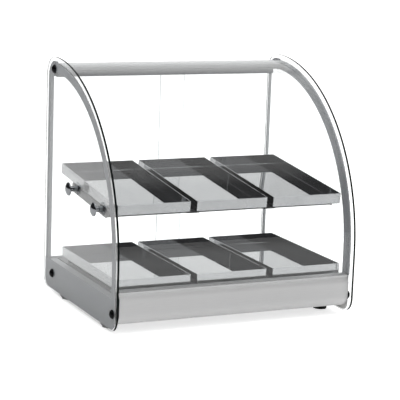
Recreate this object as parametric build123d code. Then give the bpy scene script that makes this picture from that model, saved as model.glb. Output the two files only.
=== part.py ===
from build123d import *
from math import cos, radians, sin, tan
import os

os.makedirs("parts", exist_ok=True)

# Heated display case for a counter, in millimetres.
# +Z is up, X runs along the width and the customer's side faces -Y.
# The origin is on the counter, in the middle of the cabinet's width and depth.

# Cabinet
cabinet_width = 600.0
cabinet_depth = 474.0
cabinet_height = 578.0
glass_ground_gap = 11.0
side_glass_gauge = 5.0
front_glass_gauge = 4.0
door_glass_gauge = 4.0
hood_rear_run = 54.0
top_corner_radius = 50.0
front_corner_radius = 35.0
rear_corner_radius = 30.0

# Clearances
curve_gap = 0.3
pin_gap = 0.05
rest_gap = 0.1
end_gap = 0.2
slide_gap = 1.0
sheet_gap = 0.5

# Hoop and post frames behind the side glasses
frame_gauge = 1.5
frame_width = 19.0
frame_flange_depth = 6.5
frame_flange_gauge = 2.0
frame_leg_length = 34.5
corner_plate_inset = 10.0
corner_plate_length = 59.0
post_width = 14.0

# Front glass
front_glass_inset = 12.0
front_glass_top_inset = 72.0
front_glass_bottom_z = 102.0
top_seal_width = 15.0
top_seal_inset = 2.0

# Top bar, an aluminium extrusion with the upper door channels
bar_top_drop = 21.0
bar_cover_height = 8.0
bar_rear_inset = 37.0
bar_depth = 60.0
bar_wall = 2.0
bar_groove_height = 2.0
bar_groove_depth = 6.0
bar_lip_height = 2.5
bar_lip_setback = 2.0
rail_rear_inset = 9.0
rail_depth = 38.0
rail_height = 20.0
upper_channel_depth = 17.0
screw_port_wall = 2.0

# Sliding doors
rear_door_inset = 18.0
door_spacing = 15.0
channel_width = 6.0
door_engagement = 8.0
door_left_past_middle = 52.9
door_right_past_middle = 16.9
runner_width = 5.0
runner_height = 3.0
finger_pull_length = 64.0
finger_pull_width = 22.0
finger_pull_depth = 1.2
finger_pull_inset = 36.0
finger_pull_drop = 234.0

# Base
sheet_gauge = 1.5
foot_height = 25.2
end_panel_top_z = 84.5
end_panel_ground_gap = 14.0
end_panel_front_inset = 15.0
end_panel_rear_inset = 7.0
end_panel_front_radius = 20.0
end_panel_rear_radius = 23.0
end_top_flange = 38.5
end_bottom_flange = 40.5
end_rear_flange = 21.5
end_flange_gap = 2.0
front_sheet_inset = 7.5
front_sheet_side_inset = 10.0
front_sheet_roll_radius = 27.5
front_sheet_bend_radius = 21.0
front_sheet_top_z = 105.0
front_sheet_tail = 13.0
front_sheet_shelf = 18.0
front_sheet_shelf_inset = 38.0
front_sheet_end_return = 7.0
rear_panel_inset = 25.0
rear_panel_foot = 14.0
lower_rail_rear_inset = 13.0
lower_rail_depth = 26.0
lower_rail_height = 10.0
lower_rail_floor = 2.0
vent_slot_length = 46.0
vent_slot_width = 4.0
vent_slot_pitch = 12.0
vent_slot_count = 5
bottom_vent_start = 30.0
rear_vent_start = 80.0

# Hot plate deck
deck_side_inset = 35.0
deck_front_inset = 32.0
deck_rear_inset = 77.0
deck_top_z = 100.0
deck_corner_radius = 8.0
deck_edge_radius = 3.0
deck_flange = 11.0
deck_screw_diameter = 4.0
deck_screw_head = 8.0
deck_screw_head_height = 2.4
deck_screw_length = 12.0
deck_screw_front_inset = 62.0
deck_screw_rear_inset = 42.0

# Trays
tray_count = 3
tray_row_inset = 10.65
tray_gap = 15.2
lower_tray_front_inset = 40.0
lower_tray_rear_inset = 86.4
tray_height = 24.5
tray_wall = 1.2
tray_corner_radius = 2.4
tray_floor_radius = 2.0
upper_row_shift = -4.0

# Sloping shelf
shelf_tilt = 5.94
shelf_front_inset = 45.5
shelf_front_rise = 109.2
shelf_bar_height = 20.0
shelf_bar_gauge = 3.0
shelf_bar_side_gap = 8.0
shelf_crossbar_front = 55.8
shelf_crossbar_rear_inset = 83.7
shelf_crossbar_leg = 15.0
tray_bar_width = 30.0
tray_bar_inset = 2.0
shelf_side_overhang = 4.0
shelf_knob_front = 77.4
shelf_knob_rear_inset = 109.2
shelf_knob_drop = 6.0
knob_diameter = 31.0
knob_thickness = 8.0
knob_rim_thickness = 2.5
knob_neck_diameter = 13.0
knob_neck_length = 10.0
knob_stem_diameter = 6.0
flush_head_diameter = 14.0
flush_head_height = 1.5
flush_socket_depth = 0.9
spacer_diameter = 14.0
shelf_bolt_diameter = 5.0
shelf_bolt_head = 9.0
shelf_bolt_head_height = 3.0

# Screws that hold the side glasses
glass_screw_diameter = 5.0
glass_screw_head = 10.0
glass_screw_head_height = 3.0
glass_screw_length = 20.0
cap_diameter = 22.0
cap_height = 7.0
cap_cavity_diameter = 11.0
cap_cavity_height = 4.0
nut_flats = 8.0
nut_height = 4.0
top_screw_inset = 51.0
top_screw_drop = 29.0
base_rear_screw_inset = 60.0
base_rear_screw_z = 53.5
base_front_screw_inset = 23.5
base_front_screw_z = 51.7

# Feet
foot_top_diameter = 36.0
foot_bottom_diameter = 32.0
foot_side_inset = 27.0
foot_front_inset = 106.0
foot_rear_inset = 105.0
foot_screw_diameter = 5.0
foot_screw_head = 10.0
foot_screw_head_height = 3.0
foot_recess_depth = 12.0
foot_screw_length = 22.0

# Heater and insulation
heater_diameter = 6.4
heater_bend = 14.0
heater_tail_x = 30.0
heater_tail_inset = 35.0
heater_tail_z = 55.0
heater_side_inset = 45.0
heater_rear_inset = 85.0
heater_middle_y = 0.0
heater_front_inset = 55.0
clip_length = 10.0
clip_width = 18.0
clip_drop = 1.4
insulation_side_inset = 15.0
insulation_front_inset = 25.0
insulation_rear_inset = 10.0
insulation_thickness = 22.0
insulation_top_z = 90.0
insulation_hole = 16.0
pan_gauge = 1.0
pan_wall_height = 20.0
stand_side_inset = 100.0
stand_width = 24.0
stand_length = 160.0

# Thermostat
control_z = 47.0
thermostat_x = 70.0
thermostat_body_width = 40.0
thermostat_body_height = 34.0
thermostat_body_depth = 27.0
bushing_diameter = 10.0
bushing_length = 8.0
bushing_nut_flats = 14.0
bushing_nut_height = 2.5
shaft_diameter = 6.0
thermostat_knob_diameter = 36.0
thermostat_knob_length = 15.0
thermostat_knob_taper = 2.0
knob_bar_width = 9.0
knob_bar_height = 5.0
knob_cap_wall = 3.0
knob_pointer_length = 8.0
knob_pointer_width = 1.2
knob_pointer_depth = 0.8
moulded_edge_radius = 2.0
bulb_diameter = 6.0
bulb_length = 70.0
bulb_inset = 12.0
bulb_start = 40.0
capillary_diameter = 2.0
capillary_bend = 6.0

# Switch, lamp and terminals
switch_x = -60.0
switch_bezel_width = 25.0
switch_bezel_height = 31.0
switch_bezel_gauge = 2.0
switch_body_width = 22.0
switch_body_height = 28.0
switch_body_depth = 20.0
switch_pocket_width = 17.6
switch_pocket_height = 24.6
switch_pocket_depth = 16.0
rocker_width = 17.0
rocker_half_height = 10.8
rocker_rise = 9.0
rocker_valley = 6.0
rocker_tilt = 7.0
rocker_pin_diameter = 3.0
rocker_pin_length = 1.6
rocker_pivot_depth = 7.0
lamp_x = 0.0
lamp_body_diameter = 12.0
lamp_body_length = 16.0
lamp_flange_diameter = 15.0
lamp_flange_gauge = 1.5
lamp_lens_diameter = 11.0
lamp_lens_height = 5.0
terminal_rear_inset = 107.0
terminal_length = 50.0
terminal_width = 22.0
terminal_height = 18.0
terminal_count = 5
terminal_screw_depth = 5.0

# Cable gland and earth stud
gland_side_inset = 95.0
gland_thread_diameter = 20.0
gland_thread_length = 12.0
gland_hex_flats = 26.0
gland_hex_height = 5.0
gland_nut_length = 13.0
gland_nut_diameter = 24.0
gland_nut_round = 5.0
gland_bore = 9.0
gland_locknut_height = 4.0
earth_stud_spacing = 55.0
earth_stud_diameter = 6.0
earth_stud_length = 34.0
earth_stud_inside = 13.0
earth_nut_flats = 10.0
earth_nut_height = 4.0
wire_diameter = 2.4
wire_bend = 8.0
wire_tab_offset = 6.0
wire_side_tab_offset = 12.0
wire_lamp_offset = 3.0
wire_lane = 2.0
wire_reach = 20.0
wire_far_reach = 36.0
panel_screw_diameter = 4.0
panel_screw_head = 8.0
panel_screw_head_height = 2.4
panel_screw_length = 9.0
panel_screw_side_inset = 18.0
panel_screw_low_z = 36.0
panel_screw_high_z = 64.0

# Places worked out from the sizes above
half_width = cabinet_width / 2
half_depth = cabinet_depth / 2
hood_radius = cabinet_depth - hood_rear_run
inner_x = half_width - side_glass_gauge
frame_x = inner_x - frame_gauge
web_x = inner_x - sheet_gauge
flange_x = frame_x - frame_flange_depth
hood_y = -half_depth + hood_radius
hood_z = cabinet_height - hood_radius
glass_outer_radius = hood_radius - front_glass_inset
glass_inner_radius = glass_outer_radius - front_glass_gauge
hoop_outer_radius = glass_inner_radius - curve_gap
hoop_inner_radius = hoop_outer_radius - frame_width
post_rear_y = half_depth - corner_plate_inset
post_front_y = post_rear_y - post_width
corner_plate_top = cabinet_height - corner_plate_inset
corner_plate_bottom = hood_z + hoop_inner_radius
corner_plate_front = post_rear_y - corner_plate_length
front_glass_top_y = half_depth - front_glass_top_inset
bar_top_z = cabinet_height - bar_top_drop
bar_rear_y = half_depth - bar_rear_inset
bar_front_y = bar_rear_y - bar_depth
rail_rear_y = half_depth - rail_rear_inset
rail_front_y = rail_rear_y - rail_depth
rear_door_y = half_depth - rear_door_inset
front_door_y = rear_door_y - door_spacing
bar_cover_z = bar_top_z - bar_cover_height
rail_bottom_z = bar_cover_z - rail_height
channel_top_z = rail_bottom_z + upper_channel_depth
bar_half_width = frame_x
rail_half_width = flange_x - end_gap
leg_bottom_z = end_panel_top_z - frame_leg_length
lower_rail_z = end_panel_top_z - lower_rail_height
track_floor_z = lower_rail_z + lower_rail_floor
door_reach = rail_half_width - end_gap
door_left_width = door_reach + door_left_past_middle
door_right_width = door_reach + door_right_past_middle
runner_z = track_floor_z + end_gap
door_bottom_z = runner_z + runner_height
door_top_z = rail_bottom_z + door_engagement
finger_pull_z = door_top_z - finger_pull_drop
end_panel_front_y = -half_depth + end_panel_front_inset
end_panel_rear_y = half_depth - end_panel_rear_inset
rear_panel_y = half_depth - rear_panel_inset
lower_rail_rear_y = half_depth - lower_rail_rear_inset
lower_rail_front_y = lower_rail_rear_y - lower_rail_depth
front_sheet_y = -half_depth + front_sheet_inset
front_sheet_half_width = half_width - front_sheet_side_inset
front_sheet_shelf_half_width = half_width - front_sheet_shelf_inset
base_bottom_z = foot_height
floor_z = base_bottom_z + sheet_gauge
floor_top_z = floor_z + sheet_gauge
rear_panel_front_y = rear_panel_y - sheet_gauge
sheet_return_y = front_sheet_y + front_sheet_bend_radius
sheet_back_y = sheet_return_y + sheet_gauge
sheet_bend_z = front_sheet_top_z - front_sheet_bend_radius
sheet_roll_y = front_sheet_y + front_sheet_roll_radius
sheet_roll_z = base_bottom_z + front_sheet_roll_radius
deck_half_width = half_width - deck_side_inset
deck_front_y = -half_depth + deck_front_inset
deck_rear_y = half_depth - deck_rear_inset
deck_screw_front_y = deck_front_y + deck_screw_front_inset
deck_screw_rear_y = deck_rear_y - deck_screw_rear_inset
deck_flange_y = lower_rail_front_y - sheet_gap
deck_screw_x = deck_half_width + deck_flange / 2
deck_under_z = deck_top_z - sheet_gauge
heater_z = deck_under_z - heater_diameter / 2 - rest_gap
heater_tail_y = deck_rear_y - heater_tail_inset
heater_rear_y = deck_rear_y - heater_rear_inset
heater_front_y = deck_front_y + heater_front_inset
heater_outer_x = deck_half_width - heater_side_inset
heater_inner_x = heater_outer_x / 2
insulation_half_width = deck_half_width - insulation_side_inset
insulation_front_y = deck_front_y + insulation_front_inset
insulation_rear_y = deck_rear_y - insulation_rear_inset
stand_x = insulation_half_width - stand_side_inset
insulation_z = insulation_top_z - insulation_thickness
pan_z = insulation_z - pan_gauge
top_screw_y = half_depth - top_screw_inset
top_screw_z = cabinet_height - top_screw_drop
base_rear_screw_y = half_depth - base_rear_screw_inset
base_front_screw_y = -half_depth + base_front_screw_inset
foot_x = half_width - foot_side_inset
foot_front_y = -half_depth + foot_front_inset
foot_rear_y = half_depth - foot_rear_inset
panel_screw_x = half_width - panel_screw_side_inset
gland_x = -half_width + gland_side_inset
earth_stud_x = gland_x + earth_stud_spacing
terminal_x = gland_x
terminal_y = half_depth - terminal_rear_inset
tray_pitch = (cabinet_width - 2 * tray_row_inset) / tray_count
tray_width = tray_pitch - tray_gap
tray_length = cabinet_depth - lower_tray_front_inset - lower_tray_rear_inset
lower_tray_front_y = -half_depth + lower_tray_front_inset
shelf_front_y = -half_depth + shelf_front_inset
shelf_front_z = hood_z + shelf_front_rise
shelf_crossbar_rear = tray_length - shelf_crossbar_rear_inset
shelf_knob_rear = tray_length - shelf_knob_rear_inset
shelf_bar_outer_x = inner_x - shelf_bar_side_gap
shelf_place = Location((0, shelf_front_y, shelf_front_z), (shelf_tilt, 0, 0))
shelf_bar_inner_x = shelf_bar_outer_x - shelf_bar_gauge


def block(x, y, z):
    """A box between the pairs of planes x, y and z."""
    middle = ((x[0] + x[1]) / 2, (y[0] + y[1]) / 2, (z[0] + z[1]) / 2)
    return Pos(*middle) * Box(x[1] - x[0], y[1] - y[0], z[1] - z[0])


def rod_x(x, y, z, diameter):
    return Pos((x[0] + x[1]) / 2, y, z) * Rot(0, 90, 0) * Cylinder(diameter / 2, abs(x[1] - x[0]))


def rod_y(x, y, z, diameter):
    return Pos(x, (y[0] + y[1]) / 2, z) * Rot(90, 0, 0) * Cylinder(diameter / 2, abs(y[1] - y[0]))


def rod_z(x, y, z, diameter):
    return Pos(x, y, (z[0] + z[1]) / 2) * Cylinder(diameter / 2, abs(z[1] - z[0]))


def hexagon(flats):
    return RegularPolygon(flats / 2, 6, major_radius=False)


def hex_x(x, y, z, flats):
    return extrude(Plane.YZ.offset(x[0]) * Pos(y, z) * hexagon(flats), amount=x[1] - x[0])


def hex_y(x, y, z, flats):
    face = Plane((x, y[0], z), x_dir=(1, 0, 0), z_dir=(0, 1, 0)) * hexagon(flats)
    return extrude(face, amount=y[1] - y[0])


def hex_z(x, y, z, flats):
    return extrude(Plane.XY.offset(z[0]) * Pos(x, y) * hexagon(flats), amount=z[1] - z[0])


def along_x(face, x):
    """Extrude a face drawn in Y and Z between the planes x."""
    return extrude(Plane.YZ.offset(x[0]) * face, amount=x[1] - x[0])


def mirrored(shape):
    return mirror(shape, about=Plane.YZ)


def hood_arc(radius, start, end):
    return CenterArc((hood_y, hood_z), radius, start, end - start)


def tube(points, bend, diameter):
    """A round tube through straight runs joined by tangent arcs."""
    corners = [Vector(*p) for p in points]
    edges = []
    last = corners[0]
    for before, corner, after in zip(corners, corners[1:], corners[2:]):
        inward = (corner - before).normalized()
        outward = (after - corner).normalized()
        half_turn = radians(inward.get_angle(outward)) / 2
        reach = bend * tan(half_turn)
        side = (outward - inward).normalized()
        start = corner - inward * reach
        end = corner + outward * reach
        middle = corner + side * (bend / cos(half_turn) - bend)
        edges += [Line(last, start), ThreePointArc(start, middle, end)]
        last = end
    edges.append(Line(last, corners[-1]))
    first = (corners[1] - corners[0]).normalized()
    return sweep(Plane(corners[0], z_dir=first) * Circle(diameter / 2), path=Wire(edges))


def save(name, *solids):
    shape = solids[0] if len(solids) == 1 else Compound([s for group in solids for s in group.solids()])
    shape.label = name
    export_step(shape, "parts/" + name + ".step")


# Side glasses: D-shaped panes, drawn in Y and Z
def side_outline():
    corner_y = half_depth - top_corner_radius
    corner_z = cabinet_height - top_corner_radius
    foot_y = half_depth - rear_corner_radius
    foot_z = glass_ground_gap + rear_corner_radius
    toe_y = -half_depth + front_corner_radius
    toe_z = glass_ground_gap + front_corner_radius
    edges = [
        Line((-half_depth, toe_z), (-half_depth, hood_z)),
        hood_arc(hood_radius, 180, 90),
        Line((hood_y, cabinet_height), (corner_y, cabinet_height)),
        CenterArc((corner_y, corner_z), top_corner_radius, 90, -90),
        Line((half_depth, corner_z), (half_depth, foot_z)),
        CenterArc((foot_y, foot_z), rear_corner_radius, 0, -90),
        Line((foot_y, glass_ground_gap), (toe_y, glass_ground_gap)),
        CenterArc((toe_y, toe_z), front_corner_radius, 270, -90),
    ]
    return make_face(edges)


glass_screw_places = [
    (top_screw_y, top_screw_z),
    (base_rear_screw_y, base_rear_screw_z),
    (base_front_screw_y, base_front_screw_z),
]


def shelf_point(along, drop):
    """A place in Y and Z, measured along the shelf and down from its trays."""
    slope = radians(shelf_tilt)
    y = shelf_front_y + along * cos(slope) + drop * sin(slope)
    z = shelf_front_z + along * sin(slope) - drop * cos(slope)
    return y, z


shelf_fixings = [shelf_point(along, shelf_knob_drop) for along in (shelf_knob_front, shelf_knob_rear)]


def side_glass():
    pane = along_x(side_outline(), (inner_x, half_width))
    for y, z in glass_screw_places:
        pane -= rod_x((inner_x - 1, half_width + 1), y, z, glass_screw_diameter + 2 * pin_gap)
    for y, z in shelf_fixings:
        pane -= rod_x((inner_x - 1, half_width + 1), y, z, knob_stem_diameter + 2 * pin_gap)
    return pane


save("side_glass_right", side_glass())
save("side_glass_left", mirrored(side_glass()))


# Side frames: a flat hoop and post against the glass, with a flange along the inner edge
def hoop_band(outer, inner, rear_y, foot_z):
    """The hood's curve and its straight front leg, between two radii."""
    edges = [
        Line((hood_y - outer, foot_z), (hood_y - outer, hood_z)),
        hood_arc(outer, 180, 90),
        Line((hood_y, hood_z + outer), (rear_y, hood_z + outer)),
        Line((rear_y, hood_z + outer), (rear_y, hood_z + inner)),
        Line((rear_y, hood_z + inner), (hood_y, hood_z + inner)),
        hood_arc(inner, 90, 180),
        Line((hood_y - inner, hood_z), (hood_y - inner, foot_z)),
        Line((hood_y - inner, foot_z), (hood_y - outer, foot_z)),
    ]
    return make_face(edges)


def side_frame():
    strip = along_x(
        hoop_band(hoop_outer_radius, hoop_inner_radius, top_screw_y, end_panel_top_z),
        (frame_x, inner_x),
    )
    plate_height = (corner_plate_bottom, corner_plate_top)
    post = block(
        (frame_x, inner_x),
        (post_front_y, post_rear_y),
        (end_panel_top_z, corner_plate_bottom + 1),
    )
    post += block((frame_x, inner_x), (corner_plate_front, post_rear_y), plate_height)
    rear_edge = post.edges().filter_by(Axis.X).sort_by(Axis.Z)[-2:].sort_by(Axis.Y)[-1]
    post = fillet(rear_edge, top_corner_radius - corner_plate_inset)
    flange = along_x(
        hoop_band(
            hoop_inner_radius + frame_flange_gauge,
            hoop_inner_radius,
            rail_front_y - slide_gap,
            leg_bottom_z,
        ),
        (flange_x, frame_x),
    )
    post_flange = block(
        (flange_x, frame_x),
        (post_front_y, post_front_y + frame_flange_gauge),
        (leg_bottom_z, corner_plate_bottom),
    )
    frame = strip + post + flange + post_flange
    port = glass_screw_diameter + 2 * pin_gap
    return frame - rod_x((frame_x - 1, inner_x + 1), top_screw_y, top_screw_z, port)


save("side_frame_right", side_frame())
save("side_frame_left", mirrored(side_frame()))


# Front glass: bent to the hood's curve, straight at the bottom
front_glass_half_width = inner_x - curve_gap


def front_glass():
    width = (-front_glass_half_width, front_glass_half_width)
    band = hoop_band(glass_outer_radius, glass_inner_radius, top_screw_y, end_panel_top_z)
    kept_y = (-half_depth, front_glass_top_y)
    return along_x(band, width) & block(width, kept_y, (front_glass_bottom_z, cabinet_height))


def front_glass_bottom_seal():
    outer_y = hood_y - glass_outer_radius
    inner_y = hood_y - glass_inner_radius
    width = (-front_sheet_half_width, front_sheet_half_width)
    strip = block(width, (outer_y, inner_y), (sheet_bend_z, front_glass_bottom_z))
    bend = 2 * (front_sheet_bend_radius + rest_gap)
    return strip - rod_x((-half_width, half_width), sheet_return_y, sheet_bend_z, bend)


def front_glass_top_seal():
    rear = front_glass_top_y - top_seal_inset
    width = (-front_sheet_half_width, front_sheet_half_width)
    strip = block(width, (rear - top_seal_width, rear), (bar_top_z, cabinet_height))
    under = rod_x((-half_width, half_width), hood_y, hood_z, 2 * hoop_outer_radius)
    return strip & under


save("front_glass", front_glass())
save("front_glass_bottom_seal", front_glass_bottom_seal())
save("front_glass_top_seal", front_glass_top_seal())


# Top bar: a hollow cover part over a door rail with two channels
def top_bar():
    long = (-bar_half_width, bar_half_width)
    short = (-rail_half_width, rail_half_width)
    cover = block(long, (bar_front_y, bar_rear_y), (bar_cover_z, bar_top_z))
    cover = fillet(cover.edges().filter_by(Axis.X).group_by(Axis.Z)[-1], bar_wall)
    cover -= block(
        long,
        (bar_front_y + bar_wall, bar_rear_y - bar_wall),
        (bar_cover_z + bar_wall, bar_top_z - bar_wall),
    )
    lip_top = bar_cover_z - bar_groove_height
    lip_bottom = lip_top - bar_lip_height
    lip_front = bar_front_y + bar_lip_setback
    lip = block(short, (lip_front, rail_front_y + bar_wall), (lip_bottom, lip_top))
    neck_front = lip_front + bar_groove_depth
    neck = block(short, (neck_front, rail_front_y + bar_wall), (lip_bottom, bar_cover_z))
    rail = block(short, (rail_front_y, rail_rear_y), (rail_bottom_z, bar_cover_z))
    front_channel = (front_door_y - channel_width / 2, front_door_y + channel_width / 2)
    rear_channel = (rear_door_y - channel_width / 2, rear_door_y + channel_width / 2)
    for channel in (front_channel, rear_channel):
        rail -= block(short, channel, (rail_bottom_z - 1, channel_top_z))
    for hollow in (
        (rail_front_y + bar_wall, front_channel[0] - bar_wall),
        (front_channel[1] + bar_wall, rear_channel[0] - bar_wall),
    ):
        rail -= block(short, hollow, (rail_bottom_z + bar_wall, bar_cover_z - bar_wall))
    screw_port = glass_screw_diameter + 2 * (screw_port_wall + pin_gap)
    bar = cover + lip + neck + rail
    bar += rod_x(long, top_screw_y, top_screw_z, screw_port) & block(
        long, (bar_front_y, bar_rear_y), (bar_cover_z, bar_top_z)
    )
    return bar - rod_x(long, top_screw_y, top_screw_z, glass_screw_diameter + 2 * pin_gap)


save("top_bar", top_bar())


# Sliding doors, their plastic runners and the lower track
def door(x, y, pull_x):
    half = door_glass_gauge / 2
    pane = block(x, (y - half, y + half), (door_bottom_z, door_top_z))
    plane = Plane((pull_x, y + half, finger_pull_z), x_dir=(1, 0, 0), z_dir=(0, -1, 0))
    pull = plane * Rot(0, 0, 90) * SlotOverall(finger_pull_length, finger_pull_width)
    return pane - extrude(pull, amount=finger_pull_depth)


def runner(x, y):
    half = runner_width / 2
    return block(x, (y - half, y + half), (runner_z, door_bottom_z))


door_left_x = (-door_reach, -door_reach + door_left_width)
door_right_x = (door_reach - door_right_width, door_reach)
save("door_left", door(door_left_x, rear_door_y, door_left_x[0] + finger_pull_inset))
save("door_right", door(door_right_x, front_door_y, door_right_x[1] - finger_pull_inset))
save("door_runner_left", runner(door_left_x, rear_door_y))
save("door_runner_right", runner(door_right_x, front_door_y))


def lower_door_rail():
    length = (-rail_half_width, rail_half_width)
    rail = block(length, (lower_rail_front_y, lower_rail_rear_y), (lower_rail_z, end_panel_top_z))
    for y in (front_door_y, rear_door_y):
        channel = (y - channel_width / 2, y + channel_width / 2)
        rail -= block(length, channel, (track_floor_z, end_panel_top_z + 1))
    hollow = (
        front_door_y + channel_width / 2 + bar_wall,
        rear_door_y - channel_width / 2 - bar_wall,
    )
    return rail - block(length, hollow, (lower_rail_z - 1, end_panel_top_z - bar_wall))


save("lower_door_rail", lower_door_rail())


# End panels: folded sides of the base behind the side glasses
def end_panel():
    web = block(
        (web_x, inner_x),
        (end_panel_front_y, end_panel_rear_y),
        (end_panel_ground_gap, end_panel_top_z),
    )
    low = web.edges().filter_by(Axis.X).group_by(Axis.Z)[0].sort_by(Axis.Y)
    web = fillet(low[0], end_panel_front_radius)
    low = web.edges().filter_by(Axis.X).sort_by(Axis.Y)[-2:].sort_by(Axis.Z)
    web = fillet(low[0], end_panel_rear_radius)
    top = block(
        (web_x - end_top_flange, web_x),
        (sheet_back_y + sheet_gap, deck_flange_y),
        (end_panel_top_z - sheet_gauge, end_panel_top_z),
    )
    leg_y = hood_y - hoop_inner_radius
    top -= block(
        (flange_x - curve_gap, web_x),
        (leg_y - frame_flange_gauge - curve_gap, leg_y + curve_gap),
        (leg_bottom_z, end_panel_top_z + 1),
    )
    bottom = block(
        (web_x - end_bottom_flange, web_x),
        (sheet_roll_y + front_sheet_tail + slide_gap, end_panel_rear_y - end_panel_rear_radius),
        (base_bottom_z, floor_z),
    )
    rear = block(
        (web_x - end_rear_flange, web_x),
        (rear_panel_front_y - sheet_gauge, rear_panel_front_y),
        (floor_top_z + end_flange_gap, lower_rail_z - end_flange_gap),
    )
    panel = web + top + bottom + rear
    for y, z in glass_screw_places[1:]:
        panel -= rod_x((web_x - 1, inner_x + 1), y, z, glass_screw_diameter + 2 * pin_gap)
    for y in (foot_front_y, foot_rear_y):
        hole = foot_screw_diameter + 2 * pin_gap
        panel -= rod_z(foot_x, y, (base_bottom_z - 1, floor_z + 1), hole)
    for y in (deck_screw_front_y, deck_screw_rear_y):
        hole = deck_screw_diameter + 2 * pin_gap
        panel -= rod_z(deck_screw_x, y, (end_panel_top_z - 3, end_panel_top_z + 1), hole)
    for z in (panel_screw_low_z, panel_screw_high_z):
        hole = panel_screw_diameter + 2 * pin_gap
        panel -= rod_y(panel_screw_x, (rear_panel_front_y - 3, rear_panel_y), z, hole)
    return panel


save("end_panel_right", end_panel())
save("end_panel_left", mirrored(end_panel()))


# Front sheet of the base: rolled under at the bottom, bent back and down at the top
def base_front_sheet():
    inner_roll = front_sheet_roll_radius - sheet_gauge
    inner_bend = front_sheet_bend_radius - sheet_gauge
    tail_y = sheet_roll_y + front_sheet_tail
    inner_y = front_sheet_y + sheet_gauge
    edges = [
        Line((tail_y, base_bottom_z), (sheet_roll_y, base_bottom_z)),
        CenterArc((sheet_roll_y, sheet_roll_z), front_sheet_roll_radius, 270, -90),
        Line((front_sheet_y, sheet_roll_z), (front_sheet_y, sheet_bend_z)),
        CenterArc((sheet_return_y, sheet_bend_z), front_sheet_bend_radius, 180, -90),
        Line((sheet_return_y, front_sheet_top_z), (sheet_back_y, front_sheet_top_z)),
        Line((sheet_back_y, front_sheet_top_z), (sheet_back_y, end_panel_top_z)),
        Line((sheet_back_y, end_panel_top_z), (sheet_return_y, end_panel_top_z)),
        Line((sheet_return_y, end_panel_top_z), (sheet_return_y, front_sheet_top_z - sheet_gauge)),
        CenterArc((sheet_return_y, sheet_bend_z), inner_bend, 90, 90),
        Line((inner_y, sheet_bend_z), (inner_y, sheet_roll_z)),
        CenterArc((sheet_roll_y, sheet_roll_z), inner_roll, 180, 90),
        Line((sheet_roll_y, floor_z), (tail_y, floor_z)),
        Line((tail_y, floor_z), (tail_y, base_bottom_z)),
    ]
    sheet = along_x(make_face(edges), (-front_sheet_half_width, front_sheet_half_width))
    sheet += block(
        (-front_sheet_shelf_half_width, front_sheet_shelf_half_width),
        (sheet_return_y, sheet_back_y + front_sheet_shelf),
        (end_panel_top_z, end_panel_top_z + sheet_gauge),
    )
    for side in (-1, 1):
        ends = sorted((side * front_sheet_half_width, side * (front_sheet_half_width - sheet_gauge)))
        sheet += block(
            ends,
            (inner_y - 0.1, inner_y + front_sheet_end_return),
            (sheet_roll_z, sheet_bend_z),
        )
    return sheet


save("base_front_sheet", base_front_sheet())


# Rear panel with the controls, and the bottom plate
def rear_panel():
    height = (floor_top_z, lower_rail_z)
    panel = block((-web_x, web_x), (rear_panel_front_y, rear_panel_y), height)
    panel += block(
        (-rail_half_width, rail_half_width),
        (rear_panel_y - 0.1, lower_rail_rear_y),
        (lower_rail_z - sheet_gauge, lower_rail_z),
    )
    panel += block(
        (-front_sheet_shelf_half_width, front_sheet_shelf_half_width),
        (rear_panel_front_y - rear_panel_foot, rear_panel_front_y),
        (floor_top_z, floor_top_z + sheet_gauge),
    )
    through = (rear_panel_front_y - 1, rear_panel_y + 1)
    panel -= rod_y(thermostat_x, through, control_z, bushing_diameter + 2 * pin_gap)
    panel -= rod_y(lamp_x, through, control_z, lamp_body_diameter + 2 * pin_gap)
    panel -= rod_y(gland_x, through, control_z, gland_thread_diameter + 2 * pin_gap)
    panel -= rod_y(earth_stud_x, through, control_z, earth_stud_diameter + 2 * pin_gap)
    half = switch_body_width / 2 + rest_gap
    tall = switch_body_height / 2 + rest_gap
    panel -= block(
        (switch_x - half, switch_x + half), through, (control_z - tall, control_z + tall)
    )
    for side in (-1, 1):
        for z in (panel_screw_low_z, panel_screw_high_z):
            hole = panel_screw_diameter + 2 * pin_gap
            panel -= rod_y(side * panel_screw_x, through, z, hole)
    for number in range(vent_slot_count):
        x = thermostat_x + rear_vent_start + number * vent_slot_pitch
        slot = Plane((x, rear_panel_y + 1, control_z), x_dir=(1, 0, 0), z_dir=(0, -1, 0)) * Rot(0, 0, 90)
        panel -= extrude(slot * SlotOverall(vent_slot_length / 2, vent_slot_width), amount=4)
    return panel


def bottom_plate():
    plate = block(
        (-web_x, web_x), (sheet_roll_y + end_flange_gap, rear_panel_y + sheet_gauge), (floor_z, floor_top_z)
    )
    for side in (-1, 1):
        for y in (foot_front_y, foot_rear_y):
            hole = foot_screw_diameter + 2 * pin_gap
            plate -= rod_z(side * foot_x, y, (floor_z - 1, floor_top_z + 1), hole)
        for number in range(vent_slot_count):
            x = side * (bottom_vent_start + number * vent_slot_pitch)
            for y in (foot_front_y, foot_rear_y):
                slot = Plane((x, y, floor_z - 1)) * Rot(0, 0, 90)
                slot_face = slot * SlotOverall(vent_slot_length, vent_slot_width)
                plate -= extrude(slot_face, amount=sheet_gauge + 2)
    return plate


save("rear_panel", rear_panel())
save("bottom_plate", bottom_plate())


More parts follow.
